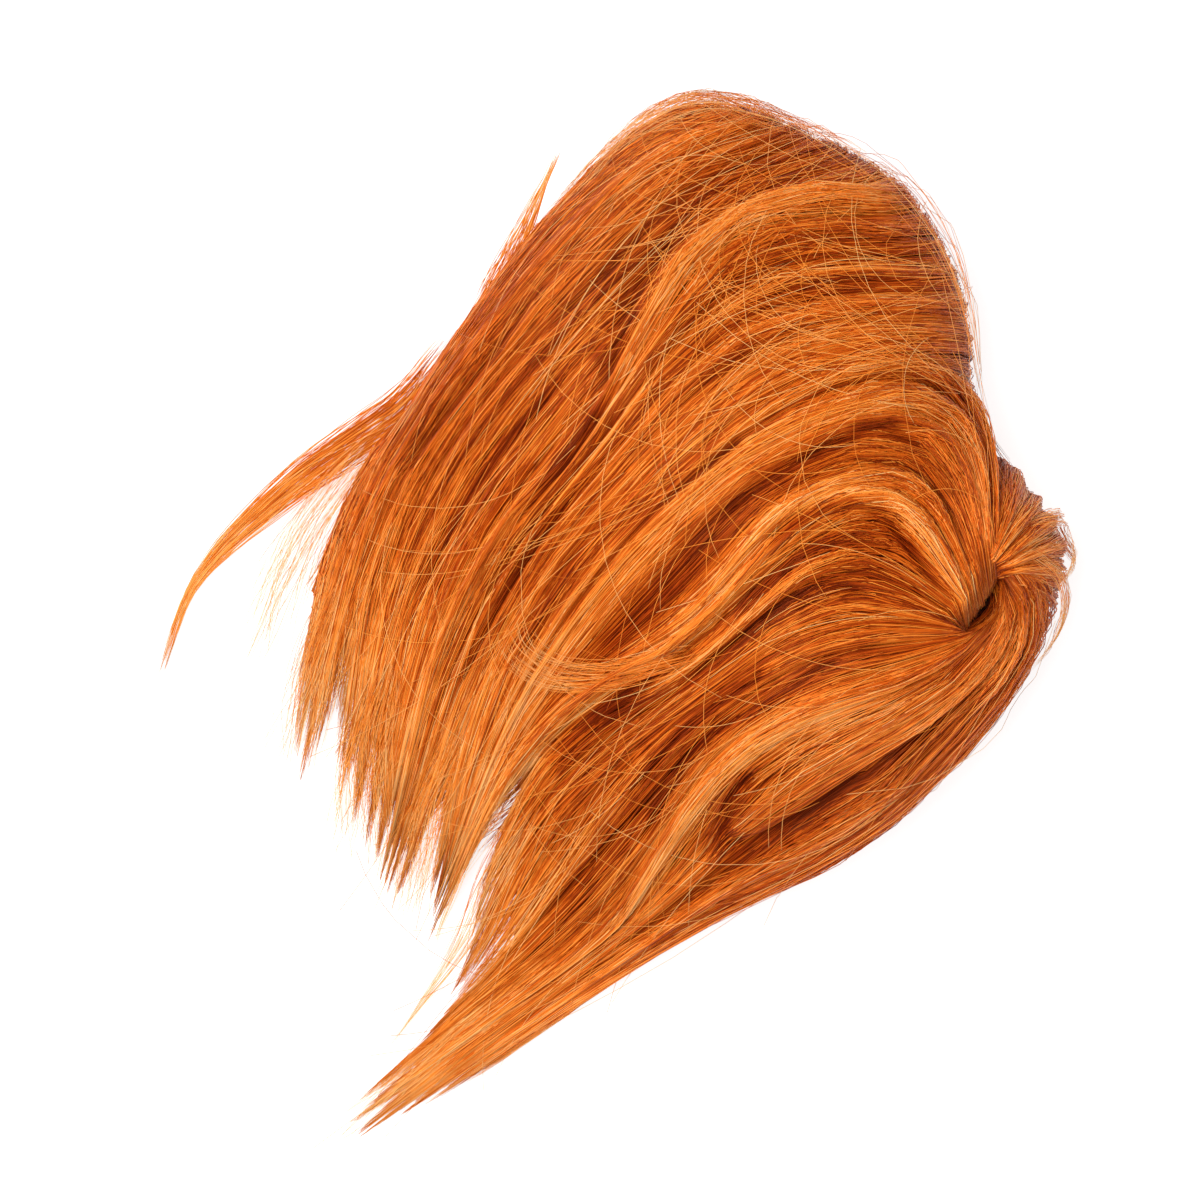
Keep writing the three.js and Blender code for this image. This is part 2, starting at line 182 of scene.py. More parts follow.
def line_through(places):
    """A centripetal spline through the places, as points at even distances."""
    ends = np.concatenate([[2 * places[0] - places[1]], places, [2 * places[-1] - places[-2]]])
    dense = []
    for p0, p1, p2, p3 in zip(ends, ends[1:], ends[2:], ends[3:]):
        d0, d1, d2 = (math.sqrt(math.dist(a, b)) for a, b in ((p0, p1), (p1, p2), (p2, p3)))
        leave = ((p1 - p0) / d0 - (p2 - p0) / (d0 + d1) + (p2 - p1) / d1) * d1
        arrive = ((p2 - p1) / d1 - (p3 - p1) / (d1 + d2) + (p3 - p2) / d2) * d1
        s = np.linspace(0, 1, SPAN_POINTS, endpoint=False)[:, None]
        dense.append(
            p1 + leave * s
            + (3 * (p2 - p1) - 2 * leave - arrive) * s**2
            + (2 * (p1 - p2) + leave + arrive) * s**3
        )
    dense = np.concatenate([*dense, places[-1:]])
    gone = np.concatenate([[0], np.cumsum(np.linalg.norm(np.diff(dense, axis=0), axis=1))])
    even = np.linspace(0, gone[-1], LINE_POINTS)
    return np.stack([np.interp(even, gone, dense[:, k]) for k in (0, 1)], -1)


def lock(*places, lift=0.0, furrow=RIDGE, tone=0.0, ends=FURROW_ENDS):
    """A lock whose ridge is raised by lift. The furrow on its left has a depth of furrow, and ends at a share
    of the length."""
    line = line_through(np.array(places, float))
    return {"line": line, "lift": lift, "furrow": furrow, "tone": tone, "ends": ends}


def lay_side_by_side(left_edge, locks, right_edge):
    """Lines across some locks, furrow and ridge in turn, with their rise over the form, tone and end."""
    lines, rise, tone, ends = [left_edge["line"]], [-RIDGE], [locks[0]["tone"]], [FURROW_ENDS]
    for this, after in zip(locks, [*locks[1:], right_edge]):
        last = after is right_edge
        lines += [this["line"], right_edge["line"] if last else (this["line"] + after["line"]) / 2]
        rise += [RIDGE + this["lift"], -after["furrow"]]
        tone += [this["tone"], (this["tone"] + after["tone"]) / 2]
        ends += [1.0, after["ends"]]
    return {"lines": np.stack(lines), "rise": np.array(rise), "tone": np.array(tone), "ends": np.array(ends)}


def part_of(laid, first, count):
    """Some locks out of a row of locks, with the furrows on both sides."""
    span = slice(2 * first, 2 * (first + count) + 1)
    return {name: values[span] for name, values in laid.items()}


def across_lines(table, v):
    """Values of a row of lines at v lines from the first, eased from line to line."""
    i = np.clip(np.floor(v).astype(int), 0, len(table) - 2)
    return table[i] + (table[i + 1] - table[i]) * smooth(v - i, 0, 1)


def place_on(lines, v, s):
    """Places v lines from the first and s of the way along them."""
    last = lines.shape[1] - 1
    i = np.clip(np.floor(v).astype(int), 0, len(lines) - 2)
    k = np.clip(np.floor(s * last).astype(int), 0, last - 1)
    a, b = (v - i)[..., None], (s * last - k)[..., None]
    near = lines[i, k] * (1 - b) + lines[i, k + 1] * b
    far = lines[i + 1, k] * (1 - b) + lines[i + 1, k + 1] * b
    return near * (1 - a) + far * a


print("a lock's line has", LINE_POINTS, "points")

# %% [markdown]
# Deep grooves open between some locks, and some stand out as ridges. Few of them follow one lock from end
# to end, so each is a stroke of its own over the form. Hair near a stroke sinks or rises by some millimetres.
# Its tone gets painted shade in a groove, where little light gets in, and a painted highlight on a ridge.

# %% Grooves and ridges
# the second strength is that of the painted shade in grooves and the painted highlight on ridges
DEEPEN, SHADE_AND_HIGHLIGHT_PAINT = 1.3, 1.4      # strength of all strokes, in depth and in tone
STROKE_REACH = 2.5             # half widths from its line at which a stroke has faded out
# places of a stroke, its half width, how far it sinks the hair, and the tone that it paints: shade below 0,
# highlight above 0
STROKES = (
    # left side
    (((-87, 80), (-83, 65), (-81, 45)), 2.5, 4.0, -0.30),
    (((-89, 38), (-87, 28), (-84, 18), (-80, 0), (-76, -20)), 2.2, 3.0, -0.24),
    (((-80, 135), (-86, 115), (-84, 90)), 6.0, 1.5, -0.14),
    (((-95, 130), (-100, 110), (-99, 85)), 4.0, -0.5, 0.10),
    (((-64, 30), (-60, 5), (-52, -20), (-40, -48)), 2.0, 2.0, -0.16),
    # lock that turns over the left side, with a painted highlight, and the painted shade beside it
    (((-46, 152), (-58, 139), (-66, 120), (-70, 95), (-65, 75), (-54, 57), (-46, 44)), 5.0, -1.5, 0.14),
    (((-80, 92), (-75, 72), (-65, 58), (-57, 49), (-49, 38), (-45, 28), (-43, 18), (-40, 4)), 3.0, 4.0, -0.30),
    # crown
    (((-45, 100), (-35, 122), (-22, 140)), 1.8, 2.5, -0.24),
    (((-47, 80), (-46, 62)), 1.8, 2.0, -0.22),
    (((-33, 90), (-35, 60)), 1.8, 2.0, -0.22),
    (((-12, 65), (-14, 40), (-12, 20)), 1.8, 2.5, -0.24),
    (((-30, 5), (-27, -8), (-23, -18), (-19, -28), (-14, -40), (-8, -50)), 2.0, 2.5, -0.24),
    (((-20, 10), (-15, -3), (-10, -15), (-4, -28)), 2.0, 2.5, -0.22),
    # fringe
    (((20, 113), (10, 105), (8, 95), (5, 80), (3, 65), (3, 50)), 2.5, 4.0, -0.26),
    (((4, 45), (8, 25), (12, 5), (14, -15)), 5.0, 2.8, -0.17),
    (((72, 91), (55, 94), (40, 94), (28, 91), (19, 82), (14, 68), (13, 55), (18, 40), (22, 25), (25, 5)),
     3.0, -1.5, 0.16),
    (((60, 88), (50, 89.5), (38, 90), (30, 87), (24, 80), (19, 68), (18, 56)), 1.8, 3.0, -0.26),
    (((45, 83), (35, 75), (31, 68), (29, 50), (30, 35)), 1.8, 2.5, -0.24),
    (((50, 68), (43, 62), (39, 50), (38, 10)), 1.8, 2.5, -0.24),
    (((33, 60), (34, 35), (34, 10), (33, -5)), 2.5, -1.0, 0.14),
    (((27, -4), (29.5, -12), (30, -28), (29, -42)), 3.2, 5.0, -0.38),
    # part
    (((71, 108), (78, 109)), 2.0, 2.0, -0.24),
    (((79, 104), (82, 97), (84, 88)), 2.2, 1.4, -0.16),
    (((88, 95), (90, 76)), 2.0, 2.0, -0.18),
    # right side
    (((92, 100), (97, 88), (99, 75), (97, 52)), 4.0, -1.0, 0.18),
    (((103, 78), (106, 62), (106, 48)), 4.0, 2.0, -0.18),
    (((85, 52), (75, 35), (68, 20), (65, 5), (68, -10), (73, -25), (80, -40), (90, -52), (97, -60)),
     6.0, -1.0, 0.12),
    (((80, 40), (78, 20), (76, 5)), 5.0, 0.0, 0.10),
    (((77, 0), (80, -10), (86, -17), (91, -19)), 3.0, 5.0, -0.32),
    (((100, 28), (100, 5), (95, -12), (90, -19)), 3.0, 4.0, -0.26),
    (((62, 45), (61, 30), (60, 15), (57, 5), (62, -20), (70, -35)), 1.8, 2.5, -0.24),
    (((50, 25), (49, 5), (50, -10), (55, -25)), 1.8, 2.5, -0.24),
)


def strokes_at(place):
    """How far the strokes sink the hair at some places, and the painted shade and highlight that they give its
    tone.
    """
    sunk, shade = np.zeros(place.shape[:-1]), np.zeros(place.shape[:-1])
    for places, width, depth, tone in STROKES:
        line = line_through(np.array(places, float))
        reach = STROKE_REACH * width
        near = ((place > line.min(0) - reach) & (place < line.max(0) + reach)).all(-1)
        away = ((place[near][:, None] - line) ** 2).sum(-1).min(1)
        sunk[near] += DEEPEN * depth * np.exp(-away / width**2)
        shade[near] += SHADE_AND_HIGHLIGHT_PAINT * tone * np.exp(-away / width**2)
    return sunk, shade


print(len(STROKES), "grooves and ridges")

# %% [markdown]
# Fibres do not lie evenly in a lock. Many cling together in thin clumps that share a path, twist a little and
# end in a common point, others lie loose and cross them at small angles, and deeper hair shows where the upper
# hair opens. So each lock gets clumps in two layers, each clump wanders a little of its own, and each fibre has
# its place in a clump's cross-section. The lower layer is only seen in the gaps, so it is made of fewer, thicker
# strands, toned darker as painted shade.

# %% Strands combed along a section
# share of the strands, clumps in a lock, depth as a share of the hair's thickness, tone (lower for the deeper
# layer, as painted shade), thickness
LAYERS = (
    (0.80, 6, 0.04, 0.02, 1.0),
    (0.20, 4, 0.28, -0.08, 1.7),
)
FINE_POINTS = 72       # points that a strand is worked out at
BEND_MM = 40.0         # a bend of one radian then keeps as many of them as this length of straight strand
STRAND_RADIUS = 0.145
SHORTEST = 0.955       # share of its lock's length that the shortest clump reaches
LOOSE_SHARE = 0.55     # share of the strands that cross their clump
DEEPEST, DEEPER = 0.6, 0.14    # share of the hair's thickness that strands sink to, more at a clump's outside
HAIR_TONE = 0.46       # place of plain hair on the ramp of fibre colours
# painted light: the thin tips are toned lighter because light comes through them
TIP_LIGHT_PAINT = 0.27        # how much lighter the thin tips are


def wander(rng, count, s, waves=(0.7, 1.6, 3.1), sizes=(1.0, 0.55, 0.25)):
    """A slow random sway along each of count strands."""
    sway = np.zeros((count, s.shape[-1]))
    for wave, size in zip(waves, sizes):
        phase, rate = rng.uniform(0, 1, (count, 1)), rng.uniform(0.75, 1.25, (count, 1))
        sway += size * np.sin(2 * np.pi * (wave * rate * s + phase))
    return sway


def spread_points(rng, count, spots, *others):
    """The same strands with count points each, closer together where they bend."""
    step = np.diff(spots, axis=1)
    length = np.linalg.norm(step, axis=-1) + 1e-9
    way = step / length[..., None]
    bend = np.arccos(np.clip((way[:, 1:] * way[:, :-1]).sum(-1), -1, 1))
    weight = length + BEND_MM * np.pad(bend, ((0, 0), (1, 0)))
    gone = np.pad(np.cumsum(weight, axis=1), ((0, 0), (1, 0)))
    even = np.linspace(0, 1, count)[None] + rng.uniform(-0.35, 0.35, (len(spots), count)) / (count - 1)
    even[:, 0], even[:, -1] = 0, 1
    at = np.stack([np.interp(e * g[-1], g, np.arange(len(g))) for e, g in zip(even, gone)])
    k = np.minimum(at.astype(int), spots.shape[1] - 2)
    row, part = np.arange(len(spots))[:, None], at - k
    spread = []
    for values in (spots, *others):
        b = part if values.ndim == 2 else part[..., None]
        spread.append(values[row, k] * (1 - b) + values[row, k + 1] * b)
    return spread


def between_ends(s):
    """1 along a lock, falling to 0 at its root and its tip, where it lies flat."""
    return smooth(s, 0.02, 0.16) * (1 - smooth(s, 0.72, 0.97))


def comb(laid, count, seed, points, upper=True, root_sink=0.0, clump_height=1.2, lift_spread=0.5, gather=0.45,
         layers=LAYERS, thick_share=1.0):
    """Strands of a section: their points, normals, share along, tone and radius."""
    rng = np.random.default_rng(seed)
    lines = laid["lines"]
    locks = len(lines) // 2
    even = np.linspace(0, 1, FINE_POINTS)
    made = []
    for share, clumps, sink, layer_shade_tone, thickness in layers:
        groups, n = locks * clumps, int(count * share)
        middles = np.tile((np.arange(clumps) + 0.5) / clumps * 2 - 1, locks) * 0.95
        middles = middles + np.repeat(2 * np.arange(locks) + 1.0, clumps) + rng.normal(0, 0.6 / clumps, groups)
        half = rng.uniform(0.5, 1.9, groups) / clumps
        reach = rng.uniform(SHORTEST, 1.0, groups)
        lift, twist = rng.normal(0, lift_spread, groups), rng.normal(0, 1.8, groups)
        group_tone = rng.normal(0, 0.08, groups)
        group_sway = wander(rng, groups, even[None])

        g = rng.integers(0, groups, n)
        loose = rng.uniform(0, 1, (n, 1)) < LOOSE_SHARE
        along = np.broadcast_to(even[None], (n, len(even)))
        stop = (reach[g] * (1.02 - 0.1 * rng.uniform(0, 1, n) ** 2))[:, None]
        stop = np.minimum(stop, 1.0)
        start = rng.uniform(0, 0.02, (n, 1))
        s = start + (stop - start) * along
        q, turn = np.sqrt(rng.uniform(0.02, 1, (n, 1))), rng.uniform(0, 2 * np.pi, (n, 1))
        turn = turn + twist[g][:, None] * s
        width = np.where(loose, 1.7, 1.0) * half[g][:, None]
        narrow = 1 - np.where(loose, 0.3, 1.0) * gather * smooth(s, 0.45, 1.0)
        v = (
            middles[g][:, None]
            + 0.65 * half[g][:, None] * group_sway[g] * smooth(s, 0, 0.2)
            + width * narrow * q * np.cos(turn)
            + np.where(loose, 0.21, 0.11) * wander(rng, n, s, (0.9, 2.1, 4.3)) * smooth(s, 0, 0.25)
            + rng.normal(0, 0.45, (n, 1)) * loose * (s - 0.4)
            + rng.normal(0, 0.25, (n, 1)) * smooth(s, 0.75, 1.0)
        )
        v = np.clip(v, 0.02, len(lines) - 1.02)
        place = place_on(lines, v, s * across_lines(laid["ends"], v))
        hair = station(place[..., 1], HAIR) * thick_share
        inner = between_ends(s)
        rise = across_lines(laid["rise"], v) * inner
        height = clump_height * (1 - 0.7 * smooth(s, 0.55, 1)) * q * np.sin(turn) + lift[g][:, None] * inner
        height = height - rng.exponential(0.35, (n, 1))
        depth = sink * hair + root_sink * (1 - smooth(s, 0, 0.05))
        sunk, shade = strokes_at(place) if upper else (0.0, 0.0)
        depth = depth - (rise - sunk) * np.minimum(hair / 10, 1) - height * np.minimum(hair / 8, 1)
        spots, normals = on_form(place, np.minimum(depth, (DEEPEST + DEEPER * q) * hair), upper)
        tones = (HAIR_TONE + layer_shade_tone + group_tone[g] + rng.normal(0, 0.17, n))[:, None]
        tones = tones + across_lines(laid["tone"], v)
        # the strokes add painted shade and highlight, the thin tips painted light, and deep furrows painted
        # shade
        tones = tones + shade + TIP_LIGHT_PAINT * smooth(along, 0.62, 0.95) + 0.025 * np.minimum(rise, 0.0)
        # painted shade at the roots, darker the deeper they sink into the part
        tones = tones - 0.05 * root_sink * (1 - smooth(s, 0, 0.08))
        strands = spread_points(rng, points, spots, normals, along, tones)
        made.append([*strands, rng.uniform(0.7, 1.25, n) * thickness * STRAND_RADIUS])
    return [np.concatenate(arrays) for arrays in zip(*made)]


print("layers of hair:", len(LAYERS))

# %% [markdown]
# A fibre is a thin tube. Curve objects with a bevel would draw it, but they are heavy by the thousand and the
# exported model keeps meshes only. So the strands of a section become one joined mesh, worked out from arrays:
# three sides to a tube, a ring at every point, closed at both ends. A real fibre is under 0.1 mm thick and would
# vanish between pixels, so each tube stands for a few fibres that cling together and is drawn 0.3 mm thick.

# %% Tubes from strands
SIDES = 3
MAP_COLUMNS = 8        # strips of strands side by side on the map that colours are baked through
CLEARANCE_MM = 0.05    # a strand stays this far over the table


def hair_piece(name, mesh, material):
    """A piece of hair from a finished mesh, on the wig's one body."""
    mesh.shade_smooth()
    mesh.materials.append(material)
    piece = bpy.data.objects.new(name, mesh)
    scene.collection.objects.link(piece)
    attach(piece, "root")
    return piece


def strand_object(name, spots, normals, along, tones, radius, material):
    """One mesh of closed tapering tubes, with the tone of each strand and a map of strips."""
    n, m = spots.shape[:2]
    spots = spots - [*CENTRE, FLAT]
    radius = np.broadcast_to(radius, (n,))[:, None]
    swell = radius * (0.3 + 0.7 * smooth(along, 0, 0.03)) * (1 - 0.75 * smooth(along, 0.88, 1.0))
    spots[..., 2] = np.maximum(spots[..., 2], swell + CLEARANCE_MM)
    tangent = np.gradient(spots, axis=1)
    tangent /= np.linalg.norm(tangent, axis=-1, keepdims=True) + 1e-9
    side = np.cross(tangent, normals)
    side /= np.linalg.norm(side, axis=-1, keepdims=True) + 1e-9
    out = np.cross(side, tangent)
    turn = 2 * np.pi * (np.arange(SIDES) + 0.25) / SIDES
    ring = side[:, :, None] * np.cos(turn)[:, None] + out[:, :, None] * np.sin(turn)[:, None]
    rings = (spots[:, :, None] + swell[..., None, None] * ring) * MM

    index = np.arange(n * m * SIDES).reshape(n, m, SIDES)
    after = np.roll(index, -1, axis=2)
    quads = np.stack([index[:, :-1], index[:, 1:], after[:, 1:], after[:, :-1]], -1).reshape(-1, 4)
    caps = np.concatenate([index[:, 0], index[:, -1, ::-1]])
    corners = np.concatenate([quads.ravel(), caps.ravel()])
    first = np.concatenate([np.arange(len(quads)) * 4, len(quads) * 4 + np.arange(len(caps)) * SIDES])

    rows = -(-n // MAP_COLUMNS)
    strip = np.arange(n)
    left, low = (strip % MAP_COLUMNS) / MAP_COLUMNS, (strip // MAP_COLUMNS) / rows
    s = np.linspace(0.02, 0.98, m) / MAP_COLUMNS
    lift = np.linspace(0.08, 0.92, SIDES + 1) / rows
    u = np.stack([s[:-1], s[1:], s[1:], s[:-1]], -1)[:, None].repeat(SIDES, 1)
    w = np.stack([lift[:-1], lift[:-1], lift[1:], lift[1:]], -1)[None].repeat(m - 1, 0)
    quad_map = np.stack([left[:, None, None, None] + u, low[:, None, None, None] + w], -1)
    cap_w = low[:, None] + lift[None, :SIDES]
    ends = [np.stack([left[:, None] + np.array(at) / MAP_COLUMNS, cap_w], -1)
            for at in ((0.02, 0.03, 0.02), (0.97, 0.98, 0.97))]
    places = np.concatenate([quad_map.reshape(-1, 2), ends[0].reshape(-1, 2), ends[1].reshape(-1, 2)])

    mesh = bpy.data.meshes.new(name)
    mesh.vertices.add(n * m * SIDES)
    mesh.vertices.foreach_set("co", rings.ravel())
    mesh.loops.add(len(corners))
    mesh.loops.foreach_set("vertex_index", corners)
    mesh.polygons.add(len(first))
    mesh.polygons.foreach_set("loop_start", first)
    mesh.uv_layers.new(name="OFBake").data.foreach_set("uv", places.ravel())
    tone = mesh.attributes.new("tone", "FLOAT", "POINT")
    tone.data.foreach_set("value", np.repeat(tones.ravel(), SIDES))
    mesh.update(calc_edges=True)
    print(name, n, "strands,", len(quads) * 2 + len(caps), "triangles")
    return hair_piece(name, mesh, material)


# %% [markdown]
# The fibre's finish. Wig hair of this kind is extruded synthetic fibre, dyed through, with a soft lengthwise
# gloss. Single fibres differ a little in colour, they look darkest where many lie over each other, and thin tips
# let light through and look brighter. The tone that each strand carries holds both its own colour and painted
# shade where hair lies deep, with painted light in the thin tips. It picks the colour from a ramp between
# a deep rust and a light ginger, and a fine noise mottles it along its length. The gloss of a dyed fibre is
# tinted by the dye, because most of it has been through the fibre once.

# %% Synthetic fibre
def hex_colour(text):
    """An sRGB hex value as a linear colour."""
    srgb = [int(text[i:i + 2], 16) / 255 for i in (1, 3, 5)]
    return [c / 12.92 if c <= 0.04045 else ((c + 0.055) / 1.055) ** 2.4 for c in srgb] + [1.0]


def add_node(tree, kind, links=(), **settings):
    """Adds a node, sets its inputs by name or its properties, and links (input, from node, output)."""
    node = tree.nodes.new(kind)
    for name, value in settings.items():
        label = name.replace("_", " ")
        if label in node.inputs:
            node.inputs[label].default_value = value
        else:
            setattr(node, name, value)
    for into, source, output in links:
        tree.links.new(source.outputs[output], node.inputs[into])
    return node


def new_material(name):
    """A material with no nodes yet, and its tree."""
    material = bpy.data.materials.new(name)
    material.use_nodes = True
    material.node_tree.nodes.clear()
    return material, material.node_tree


FIBRE_TONES = ((0.0, "#701D04"), (0.28, "#B4420B"), (0.5, "#E26C17"), (0.72, "#FF9A3A"), (1.0, "#FFC67C"))
MOTTLE_MM = 9.0        # length of the lighter and darker stretches along a fibre
MOTTLE_TONE = 0.24     # how far apart they are on the ramp
ROUGHNESS = (0.34, 0.5)
GLOSS_TINT = "#FFB878"

fibre, tree = new_material("synthetic_wig_fibre")
spot = add_node(tree, "ShaderNodeTexCoord")
mottle = add_node(tree, "ShaderNodeTexNoise", [("Vector", spot, "Object")],
                  Scale=1 / (MOTTLE_MM * MM), Detail=2.0)
tone = add_node(tree, "ShaderNodeAttribute", attribute_name="tone")
stray = add_node(tree, "ShaderNodeMath", [(0, mottle, "Fac")], operation="MULTIPLY_ADD")
stray.inputs[1].default_value, stray.inputs[2].default_value = MOTTLE_TONE, -MOTTLE_TONE / 2
shade = add_node(tree, "ShaderNodeMath", [(0, tone, "Fac"), (1, stray, "Value")], operation="ADD")
ramp = add_node(tree, "ShaderNodeValToRGB", [("Fac", shade, "Value")])
stops = ramp.color_ramp.elements
for _ in FIBRE_TONES[2:]:
    stops.new(0.5)
for stop, (at, colour) in zip(stops, FIBRE_TONES):
    stop.position, stop.color = at, hex_colour(colour)
gloss = add_node(tree, "ShaderNodeMapRange", [("Value", mottle, "Fac")],
                 To_Min=ROUGHNESS[0], To_Max=ROUGHNESS[1])
skin = add_node(tree, "ShaderNodeBsdfPrincipled",
                [("Base Color", ramp, "Color"), ("Roughness", gloss, "Result")],
                IOR=1.5, Specular_Tint=hex_colour(GLOSS_TINT))
add_node(tree, "ShaderNodeOutputMaterial", [("Surface", skin, "BSDF")])
print(fibre.name, "has", len(tree.nodes), "nodes")

# %% [markdown]
# The upper hair in four sections, side by side from the left edge to the right one: the left side and the crown
# sweep come over the crown edge from behind, the fringe leaves the part and arches over to the left, and the
# right side falls from the part into the long tail. A root that lies past the crown edge is folded underneath
# it. The tips of neighbouring locks meet in tufts, with notches between them.

# %% Locks of the upper hair
LEVELS = (150, 130, 110, 90, 60, 25, -10, -50)     # y of the places of a lock that falls from the crown edge


def falling(root, across, tip, **more):
    """A lock that falls from the crown edge, by how far across it is at each level."""
    return lock(root, *zip(across, LEVELS), tip, **more)


LEFT_EDGE = falling((-110, 154), (-110, -110.5, -117, -118.5, -113.5, -103, -89.5, -78.5), (-32, -108))
UPPER = {
    "left_side_hair": [
        falling((-99, 158), (-100, -100, -107, -109, -106.5, -98.5, -87.5, -72), (-22, -115), tone=0.04),
        falling((-92, 163), (-91, -94, -101, -102, -99, -91.5, -81.5, -64), (-15, -118), lift=1.2, tone=0.04),
        # these four locks are toned darker, painted shadow of the lock that turns over them
        falling((-84, 168), (-82.5, -87, -92.5, -93, -90.5, -84, -75, -56), (-2, -110), furrow=4.5,
                tone=-0.04, ends=0.91),
        falling((-73, 173), (-72.5, -80, -83.5, -83, -79.5, -75, -66.5, -47.5), (8, -112), lift=-1, furrow=4.5,
                tone=-0.07),
        falling((-63, 175), (-66, -74, -77.5, -77, -71, -66, -57.5, -39), (17, -114), lift=-3.0, tone=-0.06),
        falling((-52, 176), (-58, -68.5, -73, -73, -64, -55, -47, -30), (24, -115), lift=-3.0,
                furrow=3.0, tone=-0.03),
    ],
    "crown_sweep_hair": [
        falling((-40, 177), (-49, -63.5, -70.5, -70, -57, -44.5, -37, -20), (29, -117), lift=5.0,
                furrow=4.0, tone=0.05),
        falling((-24, 177), (-34, -50, -60, -60, -51.5, -40.5, -33, -16), (32, -118), lift=2.0, tone=-0.06),
        falling((-6, 175), (-16, -31, -43, -47, -45.5, -36, -29, -12), (34, -118), lift=1.0,
                furrow=3.0, tone=-0.04),
        falling((8, 171), (-4, -19, -31, -38, -37, -30, -23, -6), (36, -115), lift=1.0, furrow=3.0, tone=-0.04),
        falling((19, 165), (7, -9, -21.5, -29, -29, -24, -17, 0), (44, -107), lift=0.3, tone=-0.03, ends=0.89),
        falling((30, 158), (16, 0, -12.5, -21, -22, -18, -11, 5.5), (48, -109), lift=1.0, tone=-0.03),
    ],
    "fringe_hair": [
        lock((74, 107), (67, 110.5), (60, 115.5), (52, 122.5), (42, 130), (28, 136.5), (12, 135), (-2, 124),
             (-11, 106), (-15, 86), (-16, 60), (-12.5, 25), (-5, -10), (10, -50), (49, -110), lift=0.3),
        lock((76, 103.5), (69, 107), (61, 111.5), (51, 118), (40, 124.5), (27, 128), (12, 123), (1, 109),
             (-6, 91), (-10, 70), (-10, 45), (-7, 15), (1, -15), (14, -50), (50, -111), lift=1.5,
             furrow=3.5, tone=0.03),
        lock((77.5, 100), (70.5, 103.5), (61.5, 107.5), (51, 113.5), (40, 118), (27, 119), (15, 111.5),
             (6, 97.5), (0.5, 80), (-3, 60), (-2, 35), (2, 8), (9, -22), (17.5, -50), (51, -111), lift=1.0),
        lock((79, 96.5), (72.5, 100), (62, 103.5), (51, 108.5), (40, 111.5), (28, 110.5), (18, 102),
             (11, 90), (7, 75), (5, 58), (8, 36), (12, 12), (15, -15), (20, -50), (52, -112), lift=-4.0,
             furrow=3.5),
        lock((80, 93), (73.5, 96.5), (62.5, 99.5), (50, 103), (40, 104.5), (29, 101.5), (20, 92), (14.5, 78),
             (12, 64), (15, 47), (20, 28), (21, 8), (18.5, -15), (21.5, -50), (53, -114), lift=1.0, furrow=5.0),
        lock((81, 89.5), (74.5, 93), (62.5, 95.5), (50, 97.5), (39, 96.5), (30, 91.5), (23.5, 83), (20, 71),
             (19.5, 58), (22, 42), (25, 24), (25, 8), (21, -12), (23, -50), (55, -117), lift=2.5, tone=0.05),
    ],
    "right_side_hair": [
        lock((82, 86), (75.5, 89), (68, 89), (60, 87.5), (48, 84.5), (39, 77.5), (33.5, 66), (31.5, 52),
             (33, 36), (35, 18), (34.5, 0), (31.5, -22), (33, -48), (41, -70), (51, -89), (63, -104),
             lift=-1.0, furrow=5.5, tone=-0.03, ends=0.78),
        lock((84, 87), (78, 85.5), (69, 80.5), (57, 72), (48, 61), (43, 48), (41.5, 33), (42, 15), (41.5, -5),
             (40.5, -28), (44, -55), (54, -81), (67, -105), (74, -122), lift=-1.0, furrow=4.5, tone=-0.06),
        lock((85.5, 91), (81, 86), (74, 76.5), (64, 63), (56, 49), (52, 35), (50, 18), (49, 2), (51, -18),
             (57, -42), (65, -68), (74, -97), (79, -132), lift=0.5, tone=-0.05),
        lock((85, 95.5), (83, 88), (78, 75), (70.5, 58.5), (63.5, 44), (60.5, 30), (59, 14), (60, -2),
             (64, -18), (70, -36), (76, -60), (80, -95), (82, -140), (83, -168), lift=-1.0, furrow=3.5,
             tone=-0.05),
        lock((83.5, 100), (84.5, 92), (84, 76), (78.5, 56), (71, 38), (67, 22), (66, 6), (68.5, -10),
             (74, -26), (81, -42), (88, -58), (90, -82), (89, -120), (88, -150), (87, -177), lift=2.0,
             furrow=3.0, tone=0.03),
        lock((80.5, 103.5), (85.5, 98), (89.5, 82), (88.5, 60), (85, 42), (82, 25), (81, 8), (84, -8),
             (88, -22), (91, -45), (93, -80), (92, -120), (92, -178), lift=-2.0, furrow=3.0, tone=0.02),
        lock((76.5, 106.5), (84, 103.5), (91.5, 94.5), (96.5, 80), (97, 62), (95, 42), (92.5, 22), (91, 5),
             (91, -10), (92, -28), (94, -60), (95, -100), (94, -140), (93, -176), lift=-2.0, tone=0.04),
        lock((71, 109.5), (78, 109.8), (87, 107), (94.5, 99.5), (100, 88), (104.5, 71), (107.5, 51),
             (108.5, 32), (107, 14), (104, -5), (101, -25), (99.5, -55), (99, -95), (97, -130), (96, -160),
             lift=1.0, furrow=5.0),
        lock((67, 112), (74, 113.3), (83, 113.5), (92, 109), (100, 98.5), (106.5, 82), (111, 62), (114, 40),
             (114.5, 22), (113, 5), (110, -13), (106, -34), (103, -62), (101.5, -100), (99.5, -135),
             (98, -152), lift=1.0, tone=0.07),
    ],
}
RIGHT_EDGE = lock((69, 112.5), (77, 116), (84, 118.5), (91, 119), (99, 115), (106.5, 104), (113, 87),
                  (119.5, 64), (122, 42), (121.5, 22), (117.5, 3), (112, -17), (108, -42), (105, -68),
                  (104, -100), (102, -130), (101, -146))
upper_locks = [row for rows in UPPER.values() for row in rows]
upper = lay_side_by_side(LEFT_EDGE, upper_locks, RIGHT_EDGE)
print(len(upper_locks), "locks of upper hair")

